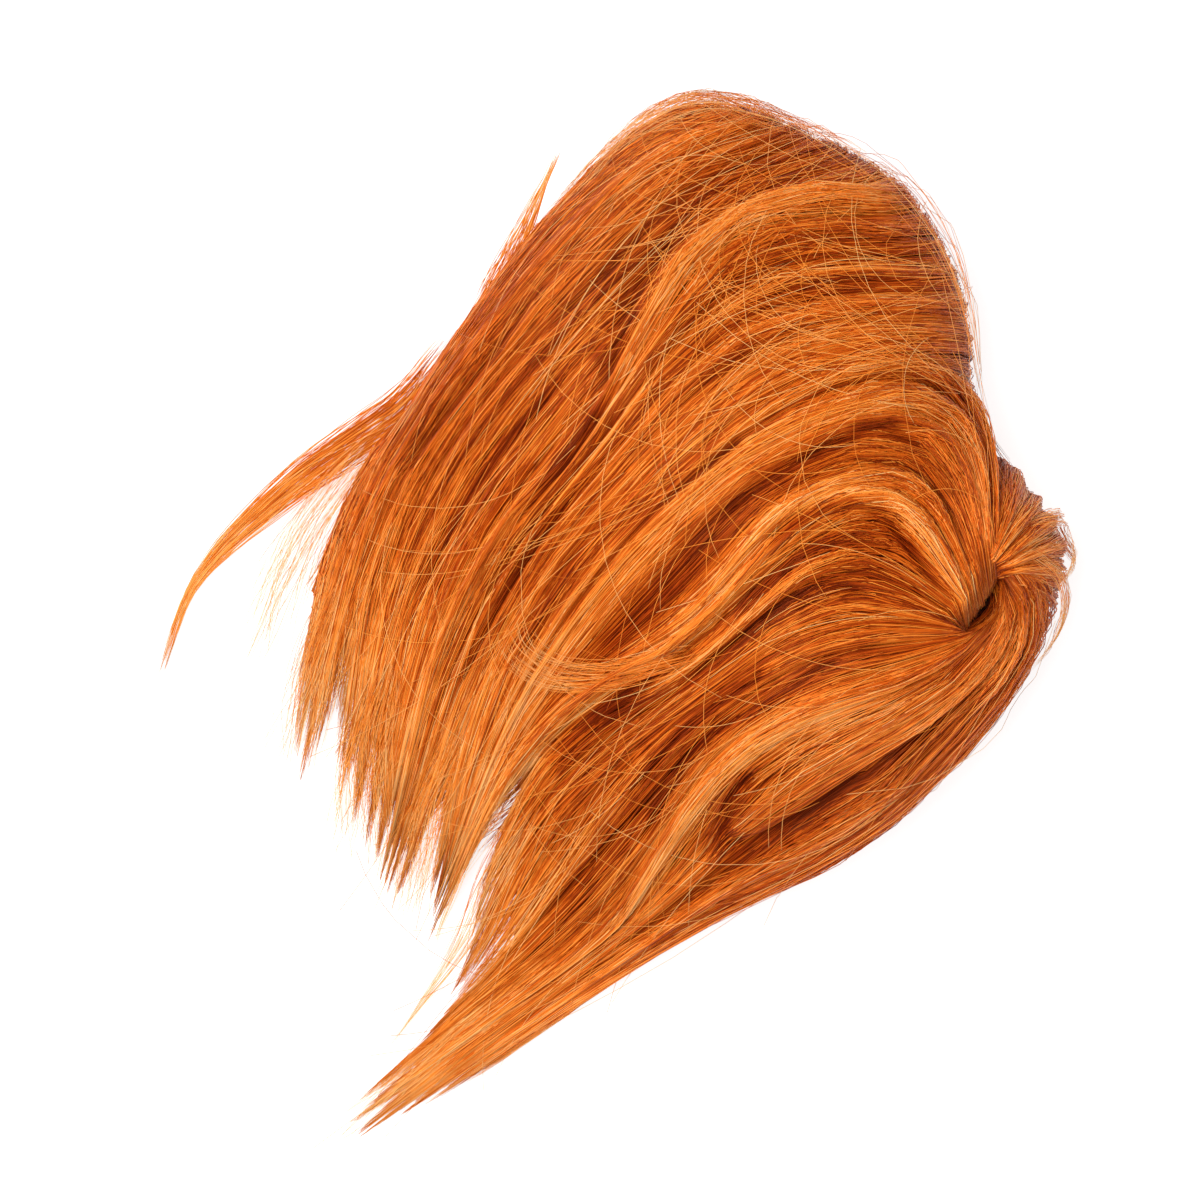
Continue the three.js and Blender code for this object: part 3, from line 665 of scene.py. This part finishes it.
# %% Strands of the upper hair
# strands, points of a strand, how far its root sinks in, which also sets the painted shade on the roots
UPPER_STRANDS = {
    "left_side_hair": (1900, 15, 0.0),
    "crown_sweep_hair": (1900, 15, 0.0),
    "fringe_hair": (1780, 16, 1.7),
    "right_side_hair": (1780, 16, 1.4),
}
first = 0
for seed, (name, rows) in enumerate(UPPER.items(), 10):
    count, points, root_sink = UPPER_STRANDS[name]
    strands = comb(part_of(upper, first, len(rows)), count, seed, points, root_sink=root_sink)
    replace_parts(strand_object(name + "_strands", *strands, fibre), name)
    first += len(rows)

# %% [markdown]
# Deeper down the hair is a dense mat, of which only dark streaks show in the gaps. Strands enough to close it
# would be tens of thousands that are never seen. So the mat is one thin closed sheet along the same lines,
# streaked like the hair and toned darker as painted shade, lighter toward the tips as painted light, and it
# ends in ragged points before the tips.

# %% Mat under the upper hair
MAT_MM = 0.8           # thickness of the sheet
MAT_LOWEST_MM = 0.3    # and how far over the table it stays
MAT_FLOOR = 0.88       # share of the hair's thickness that it sinks to at most, under all strands
MAT_INSET = 0.4        # lines that it stays in from both sides
RAGGED = 0.08          # spread of its ends, as a share of the length
# the mat's tone is darker than the hair's, as painted shade deep under the strands; its streaks differ at random
MAT_SHADE_TONE, STREAK = 0.28, 0.12      # its tone, and how far its streaks differ
# painted light: toward the tips the mat is toned lighter, as light comes through the thin ends
MAT_TIP_LIGHT_PAINT = 0.25


def sheet_object(name, spots, normals, tones):
    """A closed sheet of hair under a grid of points, with the tone of each point."""
    sides = np.stack([spots, spots - MAT_MM * normals]) - [*CENTRE, FLAT]
    sides[..., 2] = np.maximum(sides[..., 2], MAT_LOWEST_MM)
    top, low = np.arange(2 * tones.size).reshape(2, *tones.shape)
    quads = [np.stack([g[:-1, :-1], g[1:, :-1], g[1:, 1:], g[:-1, 1:]], -1).reshape(-1, 4) for g in (top, low)]
    rim = [np.concatenate([g[:-1, 0], g[-1, :-1], g[:0:-1, -1], g[0, :0:-1]]) for g in (top, low)]
    edge = np.stack([np.roll(rim[0], -1), rim[0], rim[1], np.roll(rim[1], -1)], -1)
    faces = [quads[0], quads[1][:, ::-1], edge]
    mesh = bpy.data.meshes.new(name)
    mesh.from_pydata((sides.reshape(-1, 3) * MM).tolist(), [], np.concatenate(faces).tolist())
    shell = bmesh.new()
    shell.from_mesh(mesh)
    bmesh.ops.recalc_face_normals(shell, faces=shell.faces)
    shell.to_mesh(mesh)
    shell.free()
    mesh.attributes.new("tone", "FLOAT", "POINT").data.foreach_set("value", np.tile(tones.ravel(), 2))
    print(name, 2 * len(mesh.polygons), "triangles")
    return hair_piece(name, mesh, fibre)


def mat_object(name, laid, seed, span, sink, upper=True, rows=56, columns=2):
    """A sheet along some lines, between two shares of their length, sunk by a share of the hair's thickness."""
    rng = np.random.default_rng(seed)
    last = len(laid["lines"]) - 1
    v = np.linspace(MAT_INSET, last - MAT_INSET, last * columns + 1)[:, None]
    stop = span[1] - rng.uniform(0, RAGGED, v.shape)
    s = span[0] + (stop - span[0]) * np.linspace(0, 1, rows)
    streaks_and_painted_light = rng.normal(MAT_SHADE_TONE, STREAK, v.shape) + MAT_TIP_LIGHT_PAINT * smooth(s, 0.6, 0.85)
    v = np.broadcast_to(v, s.shape)
    place = place_on(laid["lines"], v, s * across_lines(laid["ends"], v))
    hair = station(place[..., 1], HAIR)
    sunk, shade = strokes_at(place) if upper else (0.0, 0.0)
    rise = across_lines(laid["rise"], v) * between_ends(s) - sunk
    depth = sink * hair - rise * np.minimum(hair / 10, 1)
    return sheet_object(name, *on_form(place, np.minimum(depth, MAT_FLOOR * hair), upper), streaks_and_painted_light + shade)


mat_object("upper_hair_mat", upper, seed=71, span=(0.04, 0.88), sink=0.5)

# %% [markdown]
# Behind the part the hair fans up to the crown edge and goes over it. Underneath lies the back hair, which the
# wig rests on. Each has a mat of its own. Both show from the back and from the sides, where the back hair comes
# up round the edge to meet the upper hair.

# %% Hair behind the part
BEHIND_LEFT = lock((64, 108), (58, 114.5), (50, 122.5), (40, 131), (26, 143), (8, 164))
BEHIND_RIGHT = lock((78, 108), (83, 113), (89, 116.5), (95, 118.5), (104, 119), (122, 116))
BEHIND = [
    lock((66, 107), (61, 113.5), (54, 122), (46, 130), (36, 142), (24, 158), lift=-4.0),
    # these five locks are toned lighter, painted light that lifts the shade where the hair fans over the crown
    # edge
    lock((68, 106), (64.5, 112.5), (60.5, 120), (56.5, 128), (52, 136), (46, 154), tone=0.1),
    lock((69.5, 105.5), (67, 112), (65, 120), (63.5, 129), (62.5, 136), (60, 154), tone=0.1),
    lock((71, 105), (70, 111.5), (70, 120), (70.5, 128), (71.5, 136), (74, 153), lift=0.5, tone=0.12),
    lock((72.5, 105), (73, 112), (75, 119.5), (77.5, 126), (80, 133), (86, 148), lift=0.5, tone=0.12),
    lock((74, 105.5), (76, 112.5), (80, 118), (84.5, 122.5), (89, 127), (101, 137), tone=0.1),
    lock((76, 107), (80, 113.5), (85.5, 118), (91, 122), (97, 127), (112, 133), lift=-2.0),
]
behind = lay_side_by_side(BEHIND_LEFT, BEHIND, BEHIND_RIGHT)
strands = comb(behind, count=960, seed=21, points=11, root_sink=2.5, clump_height=0.7, lift_spread=0.15,
               gather=0.1, thick_share=0.8)
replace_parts(strand_object("crown_back_hair_strands", *strands, fibre), "crown_back_hair")
mat_object("crown_back_mat", behind, seed=73, span=(0.12, 0.96), sink=0.4, rows=40)

# %% Back hair
BACK_LEFT = lock((-115, 130), (-119, 92), (-108, 32), (-92, -8), (-84, -34), (-60, -88))
BACK_RIGHT = lock((109, 104), (120, 70), (123, 30), (116.5, -6), (108, -34), (104, -62), (100, -112))
BACK = [
    lock((-100, 137), (-104, 90), (-94, 26), (-76, -30), (-46, -90)),
    lock((-74, 148), (-74, 90), (-66, 26), (-55, -30), (-30, -99)),
    lock((-50, 155), (-48, 90), (-43, 26), (-35, -30), (-13, -104)),
    lock((-24, 155), (-22, 88), (-19, 26), (-13, -30), (5, -96)),
    lock((5, 144), (6, 86), (7, 26), (9, -26), (21, -100)),
    lock((33, 134), (34, 84), (33, 26), (32, -20), (34, -88)),
    lock((60, 130), (59, 84), (58, 26), (58, -26), (70, -96)),
    lock((84, 121), (85, 82), (84, 24), (82, -32), (87, -122)),
    lock((97, 110), (105, 78), (107, 24), (99, -36), (95, -118)),
]
# as LAYERS, with both layers of the back hair toned darker, the lower one most, as painted shade
BACK_LAYERS = ((0.75, 6, 0.1, -0.02, 1.5), (0.25, 4, 0.35, -0.1, 2.0))
back = lay_side_by_side(BACK_LEFT, BACK, BACK_RIGHT)
back["rise"] = back["rise"] / 3        # pressed flat by the weight of the wig
strands = comb(back, count=1100, seed=22, points=10, upper=False, gather=0.4, layers=BACK_LAYERS,
               thick_share=0.6)
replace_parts(strand_object("back_hair_strands", *strands, fibre), "back_hair")
mat_object("back_hair_mat", back, seed=72, span=(0.02, 0.9), sink=0.28, upper=False, rows=48, columns=4)

# %% [markdown]
# Round the edge of the head the hair hangs so steeply that it has next to no width in the view from above. Its
# strands are laid along the outline instead. Each keeps its place on the wall of the form, a little over or
# under the widest line, and runs from the crown towards the tips. A mat on each wall closes the gaps between
# them, and goes deeper where it meets the upper hair.

# %% Hair round the edge
# degrees of the outline where a wall starts and where it leaves the head, and the y where it ends
WALLS = {-1: (132, 180, -75), 1: (42, 0, -105)}
MAT_WALL = (-64, 16)   # degrees under and over the widest line that a mat covers


def on_rim(side, t, wall, depth):
    """Points on the left (-1) or right (1) wall, at a share of the way from the crown to the tips and some
    degrees over or under the widest line, sunk by depth."""
    start, leave, end = WALLS[side]
    turn = np.linspace(start, leave, 30)
    reach = through_rows(OUTLINE[:, 0], OUTLINE[:, 1], turn)
    turn = np.radians(turn)
    y = np.linspace(HEAD_Y, end, 60)[1:]
    head = np.stack([reach * np.cos(turn), HEAD_Y + reach * np.sin(turn)], -1)
    line = np.concatenate([head, np.stack([side * station(y, RIGHT if side > 0 else LEFT), y], -1)])
    gone = np.concatenate([[0], np.cumsum(np.linalg.norm(np.diff(line, axis=0), axis=1))])
    x, y = (np.interp(t * gone[-1], gone, line[:, k]) for k in (0, 1))
    upper = wall > 0
    full = np.cos(np.radians(np.abs(wall))) ** (2 / np.where(upper, UPPER_POWER, LOWER_POWER))
    y = np.where(y > HEAD_Y, HEAD_Y + (y - HEAD_Y) * full, y)
    return on_form(np.stack([x * full, y], -1), depth * np.minimum(station(y, HAIR) / 10, 1), upper)


def rim_strands(side, count, seed, points=9):
    """Strands along one wall, each over a third to a half of its length."""
    rng = np.random.default_rng(seed)
    along = np.broadcast_to(np.linspace(0, 1, 40), (count, 40))
    t = np.minimum(rng.uniform(0.12, 0.62, (count, 1)) + rng.uniform(0.32, 0.5, (count, 1)) * along, 1)
    wall = rng.uniform(-54, 24, (count, 1)) + rng.normal(0, 9, (count, 1)) * (along - 0.5)
    wall = np.clip(wall + 3 * wander(rng, count, t, (0.8, 1.9), (0.7, 0.4)), -62, 30)
    ends = 2.5 * (1 - smooth(along, 0, 0.15)) + 1.5 * smooth(along, 0.85, 1.0)
    depth = 0.2 + rng.exponential(0.5, (count, 1)) + 0.35 * wander(rng, count, t) + ends
    # tones rise toward the tips as painted light that comes through the thin ends
    tones = 0.45 + rng.normal(0, 0.16, (count, 1)) + 0.15 * smooth(along, 0.6, 1.0)
    radius = rng.uniform(0.7, 1.2, count) * 0.2
    return [*spread_points(rng, points, *on_rim(side, t, wall, depth), along, tones), radius]


def rim_mat(name, side, seed):
    """A sheet with lengthwise streaks and painted shade under the strands of one wall."""
    t, wall = np.meshgrid(np.linspace(0, 0.94, 48), np.linspace(*MAT_WALL, 40))
    # the wall's mat is toned darker than its strands, as painted shade under them
    streaks_and_painted_light = np.random.default_rng(seed).normal(0.24, STREAK, (len(wall), 1))
    depth = 2.4 + 4 * smooth(wall, -12, MAT_WALL[1])
    return sheet_object(name, *on_rim(side, t, wall, depth), np.broadcast_to(streaks_and_painted_light, t.shape))


rim = [np.concatenate(arrays) for arrays in zip(rim_strands(-1, 560, 81), rim_strands(1, 620, 82))]
strand_object("edge_hair_strands", *rim, fibre)
rim_mat("left_edge_mat", -1, 74)
rim_mat("right_edge_mat", 1, 75)

# %% [markdown]
# Three locks lie loose: a thin tail at the lower left, a flick that stands out of the left edge, and a wisp
# across the fringe. Each is a bundle of strands round one line. The first two are thickest near the root and
# pointed at the tip, and the wisp opens like a fan.

# %% Loose locks
LOOSE = {
    "left_tail_lock": {
        "places": ((-97, 14), (-91.5, -10), (-92.5, -32), (-94, -62), (-89, -104), (-71, -134)),
        "heights": (22, 16, 12, 7, 4.5, 2.2), "width": 13, "thick": 4, "strands": 190,
    },
    "flick_lock": {
        "places": ((-98, 24), (-106, 43), (-113.5, 58), (-120, 70), (-127, 83)),
        "heights": (40, 38, 36, 33, 31), "width": 9, "thick": 3, "strands": 60,
    },
    "cross_lock": {
        "places": ((33, 14), (27, 1), (20, -13), (9, -25), (-3, -29.5), (-15, -27)),
        "over": 2.5, "width": 15, "thick": 2.4, "strands": 70, "radius": 0.11, "fan": True, "tone": 0.66,
    },
}


def loose_lock(shape, seed, points=14):
    """A bundle of strands round one line, widest in its first half, or opening like a fan to its tip."""
    rng = np.random.default_rng(seed)
    n = shape["strands"]
    line = line_through(np.array(shape["places"], float))
    along = np.broadcast_to(np.linspace(0, 1, 40), (n, 40))
    start = rng.uniform(0, 0.15, (n, 1))
    s = start + (rng.uniform(0.55, 1.0, (n, 1)) - start) * along
    at = s * (LINE_POINTS - 1)
    middle = np.stack([np.interp(at, np.arange(LINE_POINTS), line[:, k]) for k in (0, 1)], -1)
    heading = np.gradient(line, axis=0)
    heading = np.stack([np.interp(at, np.arange(LINE_POINTS), heading[:, k]) for k in (0, 1)], -1)
    across = np.stack([heading[..., 1], -heading[..., 0]], -1)
    across /= np.linalg.norm(across, axis=-1, keepdims=True)
    swell = 0.25 + 0.75 * np.sin(np.pi * np.minimum(1, s + 0.2) ** 0.8)
    if shape.get("fan"):
        swell = 0.4 + 0.6 * s
    q, turn = np.sqrt(rng.uniform(0, 1, (n, 1))), rng.uniform(0, 2 * np.pi, (n, 1))
    turn = turn + rng.normal(0, 1.2, (n, 1)) * s
    sway = wander(rng, n, s, (0.6, 1.4), (0.6, 0.35))
    place = middle + across * ((q * np.cos(turn) + 0.35 * sway) * swell * shape["width"] / 2)[..., None]
    proud = q * np.sin(turn) * swell * shape["thick"] / 2
    if "over" in shape:
        over = shape["over"] * np.sin(np.pi * np.clip(s, 0.05, 1)) ** 0.5
        spots, normals = on_form(place, -(over + proud) * np.minimum(station(place[..., 1], HAIR) / 8, 1))
    else:
        height = np.interp(s, np.linspace(0, 1, len(shape["heights"])), shape["heights"]) + proud
        spots = np.concatenate([place, height[..., None]], -1)
        normals = np.broadcast_to([0.0, 0.0, 1.0], spots.shape)
    # tones rise toward the tips as painted light that comes through the thin ends
    tones = shape.get("tone", 0.55) + rng.normal(0, 0.14, (n, 1)) + 0.25 * smooth(along, 0.4, 1.0)
    radius = rng.uniform(0.6, 1.0, n) * shape.get("radius", 0.15)
    return [*spread_points(rng, points, spots, normals, along, tones), radius]


for seed, (name, shape) in enumerate(LOOSE.items(), 31):
    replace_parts(strand_object(name + "_strands", *loose_lock(shape, seed), fibre), name)

# %% [markdown]
# Stray hairs. A handled wig is covered in single fibres that have come out of their locks and cross the flow
# in long thin arcs, most of all over the crown. Each starts somewhere in the hair, leaves the way that the hair
# lies by some angle, bends evenly, and is lifted clear of the locks in its middle. Where many stray the same
# way they make a see-through wisp along an edge or a fan past the tips, and those are placed by their lines.

# %% Stray hairs
STRAY_RADIUS = 0.085
STRAY_REACH = 1.08     # fullness of the form that a stray hair stays within
ARC_POINTS = 40        # points that an arc is worked out at
STRAY_POINTS = 12      # and points that it keeps
WISP = {"radius": 0.1, "tone": 0.78}
WISPS = (
    {"places": ((-80, 153), (-97, 139), (-108, 132), (-114.5, 122), (-117.5, 108), (-117, 93), (-114, 78),
                (-109, 60)),
     "over": 2.0, "width": 18, "thick": 4, "strands": 90, "tone": 0.66},
    {"places": ((-60, 158), (-82, 150), (-98, 138), (-108, 125), (-112, 108), (-111, 90), (-107, 72)),
     "over": 3.0, "width": 15, "thick": 3, "strands": 40, "tone": 0.66},
    {"places": ((66, 124), (69, 131), (74, 135.5), (80, 133.5), (85, 128), (88.5, 119)),
     "over": 3.0, "width": 6, "thick": 3, "strands": 34},
    {"places": ((74, 119), (84, 121.5), (92, 118.5), (98, 113), (102, 105), (105, 96)),
     "over": 2.5, "width": 5, "thick": 2, "strands": 26},
    {"places": ((-80, 154), (-55, 160), (-28, 159), (-5, 152), (15, 143), (35, 137)),
     "over": 2.5, "width": 18, "thick": 7, "strands": 24, "tone": 0.66},
    {"places": ((-88, -26), (-84, -45), (-79, -62), (-71, -80), (-62, -96), (-54, -110)),
     "over": 0.5, "width": 24, "thick": 2, "strands": 60, "fan": True},
    {"places": ((-60, -58), (-43, -86), (-30, -104), (-18, -121)),
     "over": 0.8, "width": 24, "thick": 2, "strands": 90, "fan": True, "tone": 0.68},
    {"places": ((-26, -68), (-3, -97), (10, -109), (24, -121)),
     "over": 0.8, "width": 26, "thick": 2, "strands": 100, "fan": True, "tone": 0.68},
    {"places": ((6, -62), (20, -89), (32, -105), (45, -121)),
     "over": 0.8, "width": 24, "thick": 2, "strands": 100, "fan": True, "tone": 0.68},
    {"places": ((84, -120), (87, -145), (88, -168), (89, -186)),
     "over": 0.5, "width": 13, "thick": 2, "strands": 30, "fan": True},
    {"places": ((42, -58), (52, -84), (63, -106), (70, -130), (76, -152)),
     "over": 0.5, "width": 12, "thick": 2, "strands": 30},
    {"places": ((28, -58), (38, -83), (51, -107), (62, -122)),
     "over": 0.5, "width": 9, "thick": 2, "strands": 16},
)


def stray_hairs(laid, count, seed, lift, away_deg, bend_mm, span):
    """Even arcs over the hair, which start between two shares of its length."""
    rng = np.random.default_rng(seed)
    v = rng.uniform(0.3, len(laid["lines"]) - 1.3, count)
    s = rng.uniform(*span, count)
    start = place_on(laid["lines"], v, s)
    flow = place_on(laid["lines"], v, s + 0.02) - start
    length = rng.uniform(30, 110, (count, 1))
    part = np.linspace(0, 1, ARC_POINTS)[None]
    heading = np.arctan2(flow[:, 1], flow[:, 0])[:, None] + np.radians(rng.normal(0, away_deg, (count, 1)))
    heading = heading + rng.normal(0, 1 / bend_mm, (count, 1)) * length * part
    step = np.stack([np.cos(heading), np.sin(heading)], -1) * (length / (ARC_POINTS - 1))[..., None]
    place = start[:, None] + np.cumsum(step, axis=1) - step[:, :1]
    proud = 1.0 + rng.uniform(*lift, (count, 1)) * np.sin(np.pi * part)
    spots, normals = on_form(place, -proud * np.minimum(station(place[..., 1], HAIR) / 10, 1))
    tones = np.broadcast_to(rng.normal(0.76, 0.12, (count, 1)), (count, ARC_POINTS))
    kept = (fullness(place[..., 0], place[..., 1]) < STRAY_REACH).all(1)
    along = np.broadcast_to(0.1 + 0.75 * part, (count, ARC_POINTS))
    strands = spread_points(rng, STRAY_POINTS, spots, normals, along, tones)
    return [array[kept] for array in (*strands, np.full(count, STRAY_RADIUS))]


# first lock and locks that they start in, hairs, seed, lift, degrees off the flow, radius of a bend, shares
STRAYS = (
    (0, 14, 190, 41, (1.0, 4.0), 13, 45, (0.03, 0.25)),
    (0, 18, 120, 42, (0.5, 3.0), 7, 90, (0.2, 0.75)),
    (18, 9, 110, 43, (0.5, 3.0), 8, 80, (0.03, 0.75)),
)
strays = [stray_hairs(part_of(upper, start, locks), *more) for start, locks, *more in STRAYS]
strays += [loose_lock({**WISP, **shape}, seed, STRAY_POINTS) for seed, shape in enumerate(WISPS, 51)]
strays = [np.concatenate(arrays) for arrays in zip(*strays)]
strand_object("stray_hairs", *strays, fibre)

# %% [markdown]
# The cap that the hair is sewn to is an elastic net. It is out of sight in the hollow, so its solid stays, and
# gets a matt brown net: threads in two directions, dark between them.

# %% Elastic net on the cap
MESH_MM = 2.4          # spacing of the net's threads
BAND = 0.314           # width of one band of the wave texture at a scale of 1
THREAD_HIGH_MM = 0.4
NET_TONES = ((0.55, "#2E1408"), (0.85, "#6B3417"))

net, tree = new_material("elastic_net")
spot = add_node(tree, "ShaderNodeTexCoord")
threads = [
    add_node(tree, "ShaderNodeTexWave", [("Vector", spot, "Object")], bands_direction=way,
             Scale=BAND / (MESH_MM * MM), Distortion=0.6)
    for way in ("X", "Y")
]
both = add_node(tree, "ShaderNodeMath", [(0, threads[0], "Fac"), (1, threads[1], "Fac")], operation="MAXIMUM")
ramp = add_node(tree, "ShaderNodeValToRGB", [("Fac", both, "Value")])
for stop, (at, colour) in zip(ramp.color_ramp.elements, NET_TONES):
    stop.position, stop.color = at, hex_colour(colour)
bump = add_node(tree, "ShaderNodeBump", [("Height", both, "Value")], Strength=0.5, Distance=THREAD_HIGH_MM * MM)
skin = add_node(tree, "ShaderNodeBsdfPrincipled", [("Base Color", ramp, "Color"), ("Normal", bump, "Normal")],
                Roughness=0.85)
add_node(tree, "ShaderNodeOutputMaterial", [("Surface", skin, "BSDF")])
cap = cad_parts["wig_cap"]
cap.data.materials.clear()
cap.data.materials.append(net)
print("net of", MESH_MM, "mm on", cap.name)

# %% [markdown]
# The set. The wig lies on a plain white surface and is seen from straight above, turned so that its crown
# points to the upper right. A long lens keeps the view nearly flat. Soft light comes from all round, with one
# large soft lamp above to bring out the gloss on the locks. The surface is lit through a little, as on a light
# table, so that the shadow under the tips stays pale.

# %% White surface
GRAIN_MM = 2.5         # size of the paper's grain
PAPER = (0.37, 0.40)   # its lightness
GLOW = 0.8             # light that comes through it
FLOOR_HALF_M = 3.0
FLOOR_DROP_M = 0.0003  # gap under the wig, so that no faces coincide

floor_material, tree = new_material("white_paper")
spot = add_node(tree, "ShaderNodeTexCoord")
grain = add_node(tree, "ShaderNodeTexNoise", [("Vector", spot, "Object")],
                 Scale=1 / (GRAIN_MM * MM), Detail=3.0)
tint = add_node(tree, "ShaderNodeMapRange", [("Value", grain, "Fac")], To_Min=PAPER[0], To_Max=PAPER[1])
skin = add_node(tree, "ShaderNodeBsdfPrincipled", [("Base Color", tint, "Result")], Roughness=0.9,
                Emission_Color=(1, 1, 1, 1), Emission_Strength=GLOW)
add_node(tree, "ShaderNodeOutputMaterial", [("Surface", skin, "BSDF")])
floor_material.cycles.emission_sampling = "NONE"
sheet = bmesh.new()
bmesh.ops.create_grid(sheet, x_segments=1, y_segments=1, size=FLOOR_HALF_M)
bmesh.ops.translate(sheet, verts=sheet.verts, vec=(0, 0, -FLOOR_DROP_M))
floor_mesh = bpy.data.meshes.new("floor")
sheet.to_mesh(floor_mesh)
sheet.free()
floor_mesh.materials.append(floor_material)
floor = bpy.data.objects.new("floor", floor_mesh)
scene.collection.objects.link(floor)
print("white surface", 2 * FLOOR_HALF_M, "m wide")

# %% Light and camera
ROOM_LIGHT = 0.48
LAMP_SIZE_M, LAMP_WATTS = 0.6, 18.0
LAMP_AT = (-0.25, -0.2, 1.25)
FRAME_MM = 396.0       # width of the view
ROLL_DEG = 52.0
LENS_MM, SENSOR_MM = 135.0, 36.0
EYE_LEVEL_MM = 40.0    # height of the plane that fills the view

world = bpy.data.worlds.new("soft_room")
world.use_nodes = True
world.node_tree.nodes["Background"].inputs["Color"].default_value = (1, 1, 1, 1)
world.node_tree.nodes["Background"].inputs["Strength"].default_value = ROOM_LIGHT
scene.world = world
scene.view_settings.view_transform = "Standard"

lamp_data = bpy.data.lights.new("soft_lamp", "AREA")
lamp_data.size, lamp_data.energy = LAMP_SIZE_M, LAMP_WATTS
lamp = bpy.data.objects.new("soft_lamp", lamp_data)
lamp.location = LAMP_AT
lamp.rotation_euler = (-lamp.location).to_track_quat("-Z", "Y").to_euler()
scene.collection.objects.link(lamp)

camera_data = bpy.data.cameras.new("view_from_above")
camera_data.lens, camera_data.sensor_width = LENS_MM, SENSOR_MM
camera = bpy.data.objects.new("view_from_above", camera_data)
camera.location = (*(-CENTRE * MM), (EYE_LEVEL_MM + FRAME_MM * LENS_MM / SENSOR_MM) * MM)
camera.rotation_euler = (0, 0, math.radians(ROLL_DEG))
scene.collection.objects.link(camera)
scene.camera = camera
print("camera", camera.location)

# %% [markdown]
# Last, the view layer is updated.

# %% Finish
bpy.context.view_layer.update()
